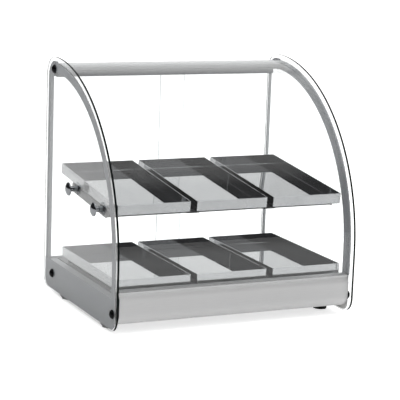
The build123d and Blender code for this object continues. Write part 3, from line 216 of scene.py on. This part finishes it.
def blank(name):
    """An empty material and the output that its shader links to."""
    material = bpy.data.materials.new(name)
    material.use_nodes = True
    tree = material.node_tree
    tree.nodes.clear()
    return material, tree, tree.nodes.new("ShaderNodeOutputMaterial")


def pattern(tree, size, stretch=(1, 1, 1), detail=3.0, roughness=0.5):
    """Random pattern with features of this size in millimetres, longer where stretch is larger."""
    coordinates = add(tree, "ShaderNodeTexCoord")
    squeezed = add(tree, "ShaderNodeMapping", {
        "Vector": coordinates.outputs["Object"],
        "Scale": tuple(1 / s for s in stretch),
    })
    texture = add(tree, "ShaderNodeTexNoise", {
        "Vector": squeezed.outputs[0], "Scale": per_metre(size),
        "Detail": detail, "Roughness": roughness,
    })
    return texture.outputs["Fac"]


def shaded(tree, values, dark, light):
    """A colour between two tones, driven by a pattern."""
    share = add(tree, "ShaderNodeMapRange", {"Value": values, **PATTERN_RANGE})
    mixed = add(tree, "ShaderNodeMix", {
        "Factor": share.outputs[0], "A": dark, "B": light,
    }, data_type="RGBA")
    return mixed.outputs["Result"]


def uneven(tree, values, dark, light, roughness):
    """Shader inputs for a surface whose colour and roughness both follow a pattern."""
    dulled = add(tree, "ShaderNodeMapRange", {
        "Value": values, **PATTERN_RANGE, "To Min": roughness[0], "To Max": roughness[1],
    })
    return {"Base Color": shaded(tree, values, dark, light), "Roughness": dulled.outputs[0]}


def tone(colour, factor):
    """The colour made lighter or darker."""
    return tuple(min(1.0, c * factor) for c in colour)


def float_glass(name, ripple_depth):
    """Float glass, fire polished: clear, with faint long waves where it was bent."""
    settings = bpy.context.scene.case_glass
    material, tree, output = blank(name)
    waves = pattern(tree, settings.ripple / MM, (2, 1, 1), detail=1.0)
    relief = add(tree, "ShaderNodeBump", {"Height": waves, "Distance": ripple_depth * MM})
    smears = add(tree, "ShaderNodeMapRange", {
        "Value": pattern(tree, 35.0, (1, 1, 2), detail=4.0), **PATTERN_RANGE,
        "To Min": 0.0, "To Max": 0.012,
    })
    glass = add(tree, "ShaderNodeBsdfPrincipled", {
        "Base Color": tuple(settings.tint), "Roughness": smears.outputs[0],
        "IOR": settings.index, "Transmission Weight": 1.0, "Normal": relief.outputs[0],
    })
    clear = add(tree, "ShaderNodeBsdfTransparent", {"Color": tuple(settings.tint)})
    path = add(tree, "ShaderNodeLightPath")
    unlit = add(tree, "ShaderNodeMath", {
        0: path.outputs["Is Shadow Ray"], 1: path.outputs["Is Diffuse Ray"],
    }, operation="MAXIMUM")
    mix = add(tree, "ShaderNodeMixShader", {
        0: unlit.outputs[0], 1: glass.outputs[0], 2: clear.outputs[0],
    })
    tree.links.new(mix.outputs[0], output.inputs[0])
    return material


def polished_glass_edge():
    """Ground and polished edge of float glass: painted nearly black, the dark reflection it shows
    when looked at along the pane.
    """
    settings = bpy.context.scene.case_glass
    material, tree, output = blank("polished_glass_edge")
    grind = pattern(tree, 0.8, (1, 12, 12))
    edge = tuple(settings.edge)
    surface = add(tree, "ShaderNodeBsdfPrincipled", {
        **uneven(tree, grind, tone(edge, 0.7), tone(edge, 1.5), (0.25, 0.38)),
        "IOR": settings.index, "Specular IOR Level": 0.1,
    })
    tree.links.new(surface.outputs[0], output.inputs[0])
    return material


def metal(
    name, colour, contrast, roughness, grain, stretch=(1, 1, 1), depth=0.0, wave=None, brushed=0.0,
):
    """Bare or plated metal.

    The grain and the depth of its relief are in millimetres, and contrast is how far its tones
    leave the colour. A mirror has the sheet's long wave, (length, depth) in millimetres, in place
    of the grain's relief. Brushing along X spreads light across X.
    """
    material, tree, output = blank(name)
    lines = pattern(tree, grain, stretch, detail=4.0, roughness=0.6)
    dark = tone(colour, 1 - contrast)
    light = tone(colour, 1 + contrast)
    inputs = {"Metallic": 1.0, **uneven(tree, lines, dark, light, roughness)}
    height = lines
    if wave:
        length, depth = wave
        height = pattern(tree, length, detail=1.0)
    relief = add(tree, "ShaderNodeBump", {"Height": height, "Distance": depth * MM})
    inputs["Normal"] = relief.outputs[0]
    if brushed:
        across = add(tree, "ShaderNodeVectorMath", {
            0: add(tree, "ShaderNodeNewGeometry").outputs["Normal"], 1: (1.0, 0.0, 0.0),
        }, operation="CROSS_PRODUCT")
        inputs["Tangent"] = across.outputs[0]
        inputs["Anisotropic"] = brushed
    surface = add(tree, "ShaderNodeBsdfPrincipled", inputs)
    tree.links.new(surface.outputs[0], output.inputs[0])
    return material


def mirror_steel():
    """Stainless steel sheet, buffed to a mirror: sharp reflections that swim over its waves.

    Buffing lines are too fine to show, so they are drawn as clouds 6 mm wide.
    """
    return metal(
        "buffed_stainless_steel", tuple(bpy.context.scene.case_metal.polished), contrast=0.03,
        roughness=(0.015, 0.045), grain=6.0, stretch=(1, 3, 1), wave=(70.0, 0.03),
    )


def satin_steel():
    """Stainless steel sheet, belt ground along its length: soft streaks, a tall dull highlight.

    The belt's lines are too fine to show, so they are drawn 0.35 mm wide.
    """
    return metal(
        "satin_stainless_steel", tuple(bpy.context.scene.case_metal.satin), contrast=0.04,
        roughness=(0.46, 0.56), grain=0.35, stretch=(90, 1, 1), depth=0.001, brushed=0.8,
    )


def deck_steel_painted_shade():
    """Stainless steel plate over the heater, dulled by cleaning; its dark grey colour is painted
    shade for the recesses beside and between the trays.

    The rolling lines are too fine to show, so they are drawn 0.35 mm wide.
    """
    return metal(
        "heat_tanned_steel", linear("5C5C5E"), contrast=0.08, roughness=(0.32, 0.45), grain=0.35,
        stretch=(90, 1, 1), depth=0.002,
    )


def anodised_aluminium():
    """Extruded aluminium, satin anodised: die lines run along the bar.

    The die lines are too fine to show, so they are drawn 0.6 mm wide.
    """
    return metal(
        "satin_anodised_aluminium", tuple(bpy.context.scene.case_metal.aluminium), contrast=0.08,
        roughness=(0.4, 0.5), grain=0.6, stretch=(250, 1, 1), depth=0.002, brushed=0.2,
    )


def chrome_plate():
    """Chromium plate over polished brass, a little dulled: dark and light reflections."""
    return metal(
        "chromium_plate", linear("989A9D"), contrast=0.02, roughness=(0.03, 0.08), grain=0.4,
        stretch=(1, 4, 4), depth=0.0002,
    )


def zinc_plate():
    """Zinc plated steel: pale, slightly blue and dull in patches."""
    return metal(
        "zinc_plated_steel", linear("B4B8BC"), contrast=0.1, roughness=(0.25, 0.45), grain=1.2,
        depth=0.001,
    )


def galvanised_sheet():
    """Hot-dip galvanised sheet: flat crystals of different greys, each about 9 mm across."""
    material, tree, output = blank("galvanised_sheet")
    coordinates = add(tree, "ShaderNodeTexCoord")
    spangle = add(tree, "ShaderNodeTexVoronoi", {
        "Vector": coordinates.outputs["Object"], "Scale": per_metre(9.0),
    })
    grey = linear("A3A6A8")
    shade = add(tree, "ShaderNodeMix", {
        "Factor": spangle.outputs["Color"], "A": tone(grey, 0.75), "B": tone(grey, 1.2),
    }, data_type="RGBA")
    dulled = add(tree, "ShaderNodeMapRange", {
        "Value": pattern(tree, 3.0), **PATTERN_RANGE, "To Min": 0.32, "To Max": 0.5,
    })
    surface = add(tree, "ShaderNodeBsdfPrincipled", {
        "Base Color": shade.outputs["Result"], "Metallic": 1.0, "Roughness": dulled.outputs[0],
    })
    tree.links.new(surface.outputs[0], output.inputs[0])
    return material


def painted(name, colour, roughness, peel, mottle, gloss=0.5):
    """A coat or a moulding: an even colour under a fine peel.

    The peel is (size, depth) in millimetres, and the mottle is (size in millimetres, contrast).
    """
    material, tree, output = blank(name)
    cloud_size, contrast = mottle
    cloud = pattern(tree, cloud_size, detail=4.0)
    dark = tone(colour, 1 - contrast)
    light = tone(colour, 1 + contrast)
    peel_size, peel_depth = peel
    relief = add(tree, "ShaderNodeBump", {
        "Height": pattern(tree, peel_size, detail=2.0), "Distance": peel_depth * MM,
    })
    surface = add(tree, "ShaderNodeBsdfPrincipled", {
        **uneven(tree, cloud, dark, light, roughness),
        "Specular IOR Level": gloss, "Normal": relief.outputs[0],
    })
    tree.links.new(surface.outputs[0], output.inputs[0])
    return material


def ground_glass_edge():
    """Ground edge of float glass: pale grey and matt, because the grinding scatters light."""
    return painted(
        "ground_glass_edge", linear("D0D2D2"), roughness=(0.5, 0.7), peel=(0.5, 0.01),
        mottle=(1.5, 0.08),
    )


def grey_powder_coat():
    """Polyester powder coat on steel: satin, with an orange peel about 1 mm across."""
    return painted(
        "grey_powder_coat", tuple(bpy.context.scene.case_metal.frame_grey),
        roughness=(0.32, 0.42), peel=(1.0, 0.003), mottle=(40.0, 0.03),
    )


def pale_inner_coat_painted_light():
    """Pale matt coat on the inner faces of the end panels: off-white, painted light that brightens
    them in the shade under the base.
    """
    return painted(
        "sprayed_primer", linear("DCDCDA"), roughness=(0.6, 0.8), peel=(0.8, 0.006),
        mottle=(25.0, 0.04),
    )


def black_enamel_and_gap_shade():
    """Stoved enamel on the shelf's bars: black and half gloss, faintly wavy; the black is also
    painted shade for the dark gaps between the trays and under their fronts.
    """
    return painted(
        "black_stoved_enamel", linear("121212"), roughness=(0.25, 0.38), peel=(2.0, 0.006),
        mottle=(20.0, 0.15),
    )


def black_abs():
    """Injection moulded ABS: black and half gloss, with slight flow marks."""
    return painted(
        "moulded_black_abs", tuple(bpy.context.scene.case_plastic.black),
        roughness=(0.14, 0.22), peel=(0.5, 0.001), mottle=(12.0, 0.2), gloss=0.12,
    )


def black_nylon():
    """Moulded nylon: black with a fine spark-eroded texture."""
    return painted(
        "textured_black_nylon", tuple(bpy.context.scene.case_plastic.black),
        roughness=(0.38, 0.5), peel=(0.3, 0.01), mottle=(10.0, 0.2),
    )


def black_rubber():
    """Moulded rubber: dull black with dusty lighter patches."""
    return painted(
        "moulded_rubber", linear("101010"), roughness=(0.65, 0.85), peel=(0.6, 0.02),
        mottle=(6.0, 0.3),
    )


def clear_silicone():
    """Silicone bead along the foot of the glass: milky, waxy and slightly dull."""
    return painted(
        "clear_silicone_seal", linear("B4B5B5"), roughness=(0.4, 0.55), peel=(1.5, 0.01),
        mottle=(20.0, 0.05),
    )


def grey_silicone():
    """Silicone bead between the glass and the top bar: grey and slightly dull."""
    return painted(
        "grey_silicone_seal", linear("8E9294"), roughness=(0.4, 0.55), peel=(1.5, 0.01),
        mottle=(20.0, 0.05),
    )


def phenolic():
    """Compression moulded phenolic: cream, speckled by its mineral filler."""
    return painted(
        "phenolic_moulding", linear("D8D2C2"), roughness=(0.45, 0.6), peel=(0.7, 0.006),
        mottle=(1.0, 0.06),
    )


def mineral_wool():
    """Mineral wool blanket: straw coloured fibres in a rough mat."""
    return painted(
        "mineral_wool", linear("C9BE93"), roughness=(0.85, 1.0), peel=(1.5, 0.6),
        mottle=(3.0, 0.25),
    )


def sleeve():
    """Silicone rubber sleeving on the wires: rust brown and waxy."""
    return painted(
        "silicone_sleeving", linear("8A4A33"), roughness=(0.4, 0.55), peel=(1.0, 0.004),
        mottle=(15.0, 0.08),
    )


def heater_sheath():
    """Nickel alloy tube, oxidised by heat: dark and dull, in lighter and darker patches."""
    return metal(
        "oxidised_alloy_tube", linear("5A5652"), contrast=0.3, roughness=(0.4, 0.6), grain=6.0,
        depth=0.002,
    )


def copper():
    """Drawn copper tube, slightly tarnished: warm and satin, with soft darker streaks."""
    return metal(
        "drawn_copper", linear("C07A5A"), contrast=0.15, roughness=(0.25, 0.4), grain=2.0,
        stretch=(4, 1, 1), depth=0.001,
    )


def brass():
    """Turned brass, slightly tarnished: yellow, with faint lines.

    The tool's lines are too fine to show, so they are drawn 0.8 mm wide.
    """
    return metal(
        "turned_brass", linear("C8A767"), contrast=0.1, roughness=(0.2, 0.35), grain=0.8,
        stretch=(1, 6, 6), depth=0.002,
    )


def nickel():
    """Nickel plated brass: warm grey and bright."""
    return metal(
        "nickel_plate", linear("BDB8B0"), contrast=0.06, roughness=(0.12, 0.22), grain=0.7,
        depth=0.001,
    )


def amber_lens():
    """Moulded polycarbonate, transparent amber, with facets that break up what is behind."""
    lens = tuple(bpy.context.scene.case_plastic.lens)
    material, tree, output = blank("amber_polycarbonate")
    facets = pattern(tree, 1.5, detail=0.0)
    relief = add(tree, "ShaderNodeBump", {"Height": facets, "Distance": 0.08 * MM})
    surface = add(tree, "ShaderNodeBsdfPrincipled", {
        "Base Color": shaded(tree, facets, tone(lens, 0.7), lens), "Roughness": 0.12,
        "IOR": 1.58, "Transmission Weight": 0.35, "Normal": relief.outputs[0],
    })
    tree.links.new(surface.outputs[0], output.inputs[0])
    return material


def printed_white():
    """Screen printed ink: off-white and thin, slightly broken at its edges."""
    return painted(
        "printed_white_ink", tuple(bpy.context.scene.case_plastic.mark_white),
        roughness=(0.5, 0.65), peel=(0.3, 0.002), mottle=(0.8, 0.05),
    )


def dress(material, *names):
    """Gives CAD nodes one material all over."""
    for name in names:
        mesh = nodes[name].data
        mesh.materials.clear()
        mesh.materials.append(material)


def dress_rim(material, axis, *names):
    """Gives a second material to the faces of flat panes that don't face along the axis."""
    for name in names:
        mesh = nodes[name].data
        mesh.materials.append(material)
        for face in mesh.polygons:
            face.material_index = 1 if abs(face.normal[axis]) < FACING else 0


def dress_back(material, *names):
    """Gives a second material to the faces of end sheets that look at the middle of the case."""
    for name in names:
        mesh = nodes[name].data
        low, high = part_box(name)
        inward = -1 if low.x + high.x > 0 else 1
        mesh.materials.append(material)
        for face in mesh.polygons:
            face.material_index = 1 if face.normal.x * inward > FACING else 0


def place(mesh_object, body, material):
    """Links a new piece, and says what it rides on and its finish."""
    bpy.context.scene.collection.objects.link(mesh_object)
    mesh_object.data.materials.append(material)
    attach(mesh_object, body)


class DISPLAYCASE_OT_glass(bpy.types.Operator):
    """Dress the side panes, the bent front pane and the sliding doors"""
    bl_idname = "display_case.glass"
    bl_label = "Glass"

    def execute(self, context):
        flat = float_glass("clear_float_glass", 0.0)
        bent = float_glass("bent_float_glass", 0.02)
        dress(flat, "side_glass_left", "side_glass_right", "door_left", "door_right")
        dress(bent, "front_glass")
        # The side panes' edges get a painted dark reflection.
        dress_rim(polished_glass_edge(), X_AXIS, "side_glass_left", "side_glass_right")
        dress_rim(ground_glass_edge(), Y_AXIS, "door_left", "door_right")
        return {"FINISHED"}


class DISPLAYCASE_OT_trays(bpy.types.Operator):
    """Dress the polished trays"""
    bl_idname = "display_case.trays"
    bl_label = "Trays"

    def execute(self, context):
        steel = mirror_steel()
        for number in (1, 2, 3):
            dress(steel, f"lower_tray_{number}", f"upper_tray_{number}")
        return {"FINISHED"}


class DISPLAYCASE_OT_metalwork(bpy.types.Operator):
    """Dress the frames, the base sheets, the top bar and the shelf"""
    bl_idname = "display_case.metalwork"
    bl_label = "Metalwork"

    def execute(self, context):
        dress(
            grey_powder_coat(), "side_frame_left", "side_frame_right", "end_panel_left",
            "end_panel_right", "rear_panel",
        )
        # The shelf's black also serves as painted shade in the gaps between the upper trays.
        dress(
            black_enamel_and_gap_shade(), "shelf_side_bar_left", "shelf_side_bar_right", "shelf_grid",
        )
        dress(satin_steel(), "base_front_sheet")
        # The deck's dark grey is painted shade for the recesses it lies in.
        dress(deck_steel_painted_shade(), "deck")
        dress(anodised_aluminium(), "top_bar", "lower_door_rail")
        dress(galvanised_sheet(), "bottom_plate", "insulation_pan", "pan_stands", "heater_clips")
        # The inner faces of the end panels get a pale colour as painted light against the shade
        # under the base.
        dress_back(pale_inner_coat_painted_light(), "end_panel_left", "end_panel_right")
        return {"FINISHED"}


class DISPLAYCASE_OT_fixings(bpy.types.Operator):
    """Dress the knobs, screws, caps, seals and feet"""
    bl_idname = "display_case.fixings"
    bl_label = "Fixings"

    def execute(self, context):
        dress(chrome_plate(), "shelf_knobs", "shelf_screws")
        dress(
            zinc_plate(), "glass_screws", "weld_nuts", "foot_screws", "shelf_bolts",
            "deck_screws", "panel_screws", "thermostat_shaft", "shelf_spacers",
        )
        dress(black_abs(), "screw_caps")
        dress(black_rubber(), "feet")
        dress(clear_silicone(), "front_glass_bottom_seal")
        dress(grey_silicone(), "front_glass_top_seal")
        return {"FINISHED"}


class DISPLAYCASE_OT_controls(bpy.types.Operator):
    """Dress the thermostat, switch, lamp and cable gland"""
    bl_idname = "display_case.controls"
    bl_label = "Controls"

    def execute(self, context):
        dress(
            black_nylon(), "thermostat_knob", "switch_body", "switch_rocker", "cable_gland_body",
            "cable_gland_nut", "cable_gland_locknut", "door_runner_left", "door_runner_right",
            "pilot_lamp_body",
        )
        dress(amber_lens(), "pilot_lamp_lens")
        dress(nickel(), "thermostat_nut")
        dress(brass(), "earth_stud")
        return {"FINISHED"}


class DISPLAYCASE_OT_inside(bpy.types.Operator):
    """Dress the heater, the insulation and the wiring inside the base"""
    bl_idname = "display_case.inside"
    bl_label = "Inside the base"

    def execute(self, context):
        dress(heater_sheath(), "heater_element")
        dress(copper(), "thermostat_bulb")
        dress(phenolic(), "thermostat_body", "terminal_block")
        dress(mineral_wool(), "insulation")
        dress(sleeve(), "wiring")
        return {"FINISHED"}


def prism(mesh, outline, low_y, high_y):
    """Adds a flat plate to a mesh: an outline in X and Z, between two planes of Y."""
    front = [mesh.verts.new((x, low_y, z)) for x, z in outline]
    back = [mesh.verts.new((x, high_y, z)) for x, z in outline]
    count = len(outline)
    mesh.faces.new(front)
    mesh.faces.new(list(reversed(back)))
    for i in range(count):
        following = (i + 1) % count
        mesh.faces.new((front[following], front[i], back[i], back[following]))


class DISPLAYCASE_OT_marks(bpy.types.Operator):
    """Print the dial's scale on the rear panel"""
    bl_idname = "display_case.marks"
    bl_label = "Marks"

    def execute(self, context):
        low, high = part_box("thermostat_knob")
        centre = (low + high) / 2
        panel_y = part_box("thermostat_nut")[0].y
        radius = (high.x - low.x) / 2 + SCALE_GAP
        shape = bmesh.new()
        inner, outer = [], []
        for step in range(SCALE_STEPS + 1):
            share = step / SCALE_STEPS
            angle = SCALE_START + SCALE_SWEEP * share
            width = SCALE_THIN + (SCALE_THICK - SCALE_THIN) * share
            inner.append((centre.x - radius * cos(angle), centre.z - radius * sin(angle)))
            outer.append((
                centre.x - (radius + width) * cos(angle),
                centre.z - (radius + width) * sin(angle),
            ))
        for step in range(SCALE_STEPS):
            prism(
                shape, [inner[step], outer[step], outer[step + 1], inner[step + 1]],
                panel_y + SCALE_INK, panel_y + SCALE_SUNK,
            )
        bmesh.ops.remove_doubles(shape, verts=shape.verts, dist=WELD)
        bmesh.ops.recalc_face_normals(shape, faces=shape.faces)
        mesh = bpy.data.meshes.new("dial_scale")
        shape.to_mesh(mesh)
        shape.free()
        place(bpy.data.objects.new("dial_scale", mesh), "cabinet", printed_white())
        return {"FINISHED"}


def stage_floor(settings):
    """A plain white floor that keeps the object's soft shadow."""
    mesh = bpy.data.meshes.new("floor")
    half = settings.floor / 2
    corners = [(-half, -half, 0), (half, -half, 0), (half, half, 0), (-half, half, 0)]
    mesh.from_pydata(corners, [], [(0, 1, 2, 3)])
    floor = bpy.data.objects.new("floor", mesh)
    bpy.context.scene.collection.objects.link(floor)
    material, tree, output = blank("white_floor")
    matt = add(tree, "ShaderNodeBsdfDiffuse", {"Color": tuple(settings.floor_tone)})
    lift = add(tree, "ShaderNodeMath", {
        0: seen_directly(tree), 1: settings.floor_glow,
    }, operation="MULTIPLY")
    glow = add(tree, "ShaderNodeEmission", {"Color": WHITE, "Strength": lift.outputs[0]})
    both = add(tree, "ShaderNodeAddShader", {0: matt.outputs[0], 1: glow.outputs[0]})
    tree.links.new(both.outputs[0], output.inputs[0])
    mesh.materials.append(material)


def seen_directly(tree):
    """One for what the eye sees, also through glass, and nought for what metal mirrors."""
    path = add(tree, "ShaderNodeLightPath")
    unmirrored = add(tree, "ShaderNodeMath", {
        0: path.outputs["Glossy Depth"], 1: 0.5,
    }, operation="LESS_THAN")
    through = add(tree, "ShaderNodeMath", {
        0: path.outputs["Is Transmission Ray"], 1: unmirrored.outputs[0],
    }, operation="MULTIPLY")
    seen = add(tree, "ShaderNodeMath", {
        0: path.outputs["Is Camera Ray"], 1: through.outputs[0],
    }, operation="MAXIMUM")
    return seen.outputs[0]


def stage_world(settings):
    """White where it is seen, and the dim room with its white parts where metal mirrors it."""
    world = bpy.data.worlds.new("studio")
    bpy.context.scene.world = world
    world.use_nodes = True
    tree = world.node_tree
    tree.nodes.clear()
    output = tree.nodes.new("ShaderNodeOutputWorld")
    path = add(tree, "ShaderNodeLightPath")
    direction = add(tree, "ShaderNodeTexCoord").outputs["Generated"]
    parts = add(tree, "ShaderNodeSeparateXYZ", {0: direction})
    behind = add(tree, "ShaderNodeVectorMath", {
        0: direction, 1: BACKDROP_WAY,
    }, operation="DOT_PRODUCT")
    backdrop, ceiling, paler = (
        add(tree, "ShaderNodeMapRange", {
            "Value": value, "From Min": low, "From Max": high,
        }, interpolation_type="SMOOTHSTEP").outputs[0]
        for value, (low, high) in (
            (behind.outputs["Value"], BACKDROP_EDGE),
            (parts.outputs["Z"], CEILING_EDGE),
            (parts.outputs["X"], WALL_EDGE),
        )
    )
    bright = add(tree, "ShaderNodeMath", {0: backdrop, 1: ceiling}, operation="MAXIMUM")
    walls = add(tree, "ShaderNodeMix", {
        "Factor": paler, "A": DARK_WALL, "B": PALE_WALL,
    }, data_type="RGBA")
    room = add(tree, "ShaderNodeMix", {
        "Factor": bright.outputs[0], "A": walls.outputs["Result"], "B": WHITE,
    }, data_type="RGBA")
    mirrored = add(tree, "ShaderNodeMath", {
        0: path.outputs["Is Glossy Ray"], 1: path.outputs["Is Transmission Ray"],
    }, operation="MAXIMUM")
    soft = add(tree, "ShaderNodeBackground", {"Color": WHITE, "Strength": settings.room_light})
    gloss = add(tree, "ShaderNodeBackground", {"Color": room.outputs["Result"]})
    white = add(tree, "ShaderNodeBackground", {"Color": WHITE})
    first = add(tree, "ShaderNodeMixShader", {
        0: mirrored.outputs[0], 1: soft.outputs[0], 2: gloss.outputs[0],
    })
    second = add(tree, "ShaderNodeMixShader", {
        0: seen_directly(tree), 1: first.outputs[0], 2: white.outputs[0],
    })
    tree.links.new(second.outputs[0], output.inputs[0])


def softbox(name, place_at, look_at, size, watts):
    """An area lamp that lights matt surfaces and isn't mirrored itself."""
    light = bpy.data.lights.new(name, "AREA")
    light.shape = "RECTANGLE"
    light.size, light.size_y = size
    light.energy = watts
    lamp = bpy.data.objects.new(name, light)
    lamp.location = place_at
    aim = Vector(look_at) - Vector(place_at)
    lamp.rotation_euler = aim.to_track_quat("-Z", "Y").to_euler()
    lamp.visible_glossy = False
    lamp.visible_transmission = False
    bpy.context.scene.collection.objects.link(lamp)


class DISPLAYCASE_OT_stage(bpy.types.Operator):
    """Set the floor, the light and the camera"""
    bl_idname = "display_case.stage"
    bl_label = "Stage"

    def execute(self, context):
        settings = context.scene.case_stage
        stage_floor(settings)
        stage_world(settings)
        for name, place_at, size, power in SOFTBOXES:
            softbox(name, place_at, LAMPS_AIM, size, getattr(settings, power))
        turn, look_down, roll = settings.azimuth, settings.elevation, settings.roll
        right = Vector((cos(turn), sin(turn), 0))
        back = Vector((sin(turn) * cos(look_down), -cos(turn) * cos(look_down), sin(look_down)))
        up = back.cross(right)
        side = right * cos(roll) + up * sin(roll)
        top = up * cos(roll) - right * sin(roll)
        data = bpy.data.cameras.new("camera")
        data.lens = settings.lens
        data.sensor_width = 36.0
        data.clip_end = 100.0
        camera = bpy.data.objects.new("camera", data)
        pose = Matrix((side, top, back)).transposed().to_4x4()
        pose.translation = Vector(settings.eye)
        camera.matrix_world = pose
        context.scene.collection.objects.link(camera)
        context.scene.camera = camera
        context.scene.view_settings.view_transform = "Standard"
        return {"FINISHED"}


class DISPLAYCASE_PT_panel(bpy.types.Panel):
    """Lists the steps that dress the display case"""
    bl_idname = "DISPLAYCASE_PT_panel"
    bl_label = "Display case"
    bl_space_type = "VIEW_3D"
    bl_region_type = "UI"
    bl_category = "Display case"

    def draw(self, context):
        for operator in OPERATORS:
            self.layout.operator(operator.bl_idname)


OPERATORS = (
    DISPLAYCASE_OT_glass,
    DISPLAYCASE_OT_trays,
    DISPLAYCASE_OT_metalwork,
    DISPLAYCASE_OT_fixings,
    DISPLAYCASE_OT_controls,
    DISPLAYCASE_OT_inside,
    DISPLAYCASE_OT_marks,
    DISPLAYCASE_OT_stage,
)
SETTINGS = {
    "case_glass": CaseGlassSettings,
    "case_metal": CaseMetalSettings,
    "case_plastic": CasePlasticSettings,
    "case_stage": CaseStageSettings,
}


def register():
    for group in SETTINGS.values():
        bpy.utils.register_class(group)
    for operator in OPERATORS:
        bpy.utils.register_class(operator)
    bpy.utils.register_class(DISPLAYCASE_PT_panel)
    for name, group in SETTINGS.items():
        setattr(bpy.types.Scene, name, bpy.props.PointerProperty(type=group))


def unregister():
    for name in SETTINGS:
        delattr(bpy.types.Scene, name)
    bpy.utils.unregister_class(DISPLAYCASE_PT_panel)
    for operator in reversed(OPERATORS):
        bpy.utils.unregister_class(operator)
    for group in reversed(list(SETTINGS.values())):
        bpy.utils.unregister_class(group)


def main():
    register()
    bpy.ops.display_case.glass()
    bpy.ops.display_case.trays()
    bpy.ops.display_case.metalwork()
    bpy.ops.display_case.fixings()
    bpy.ops.display_case.controls()
    bpy.ops.display_case.inside()
    bpy.ops.display_case.marks()
    bpy.ops.display_case.stage()


if __name__ == "__main__":
    main()
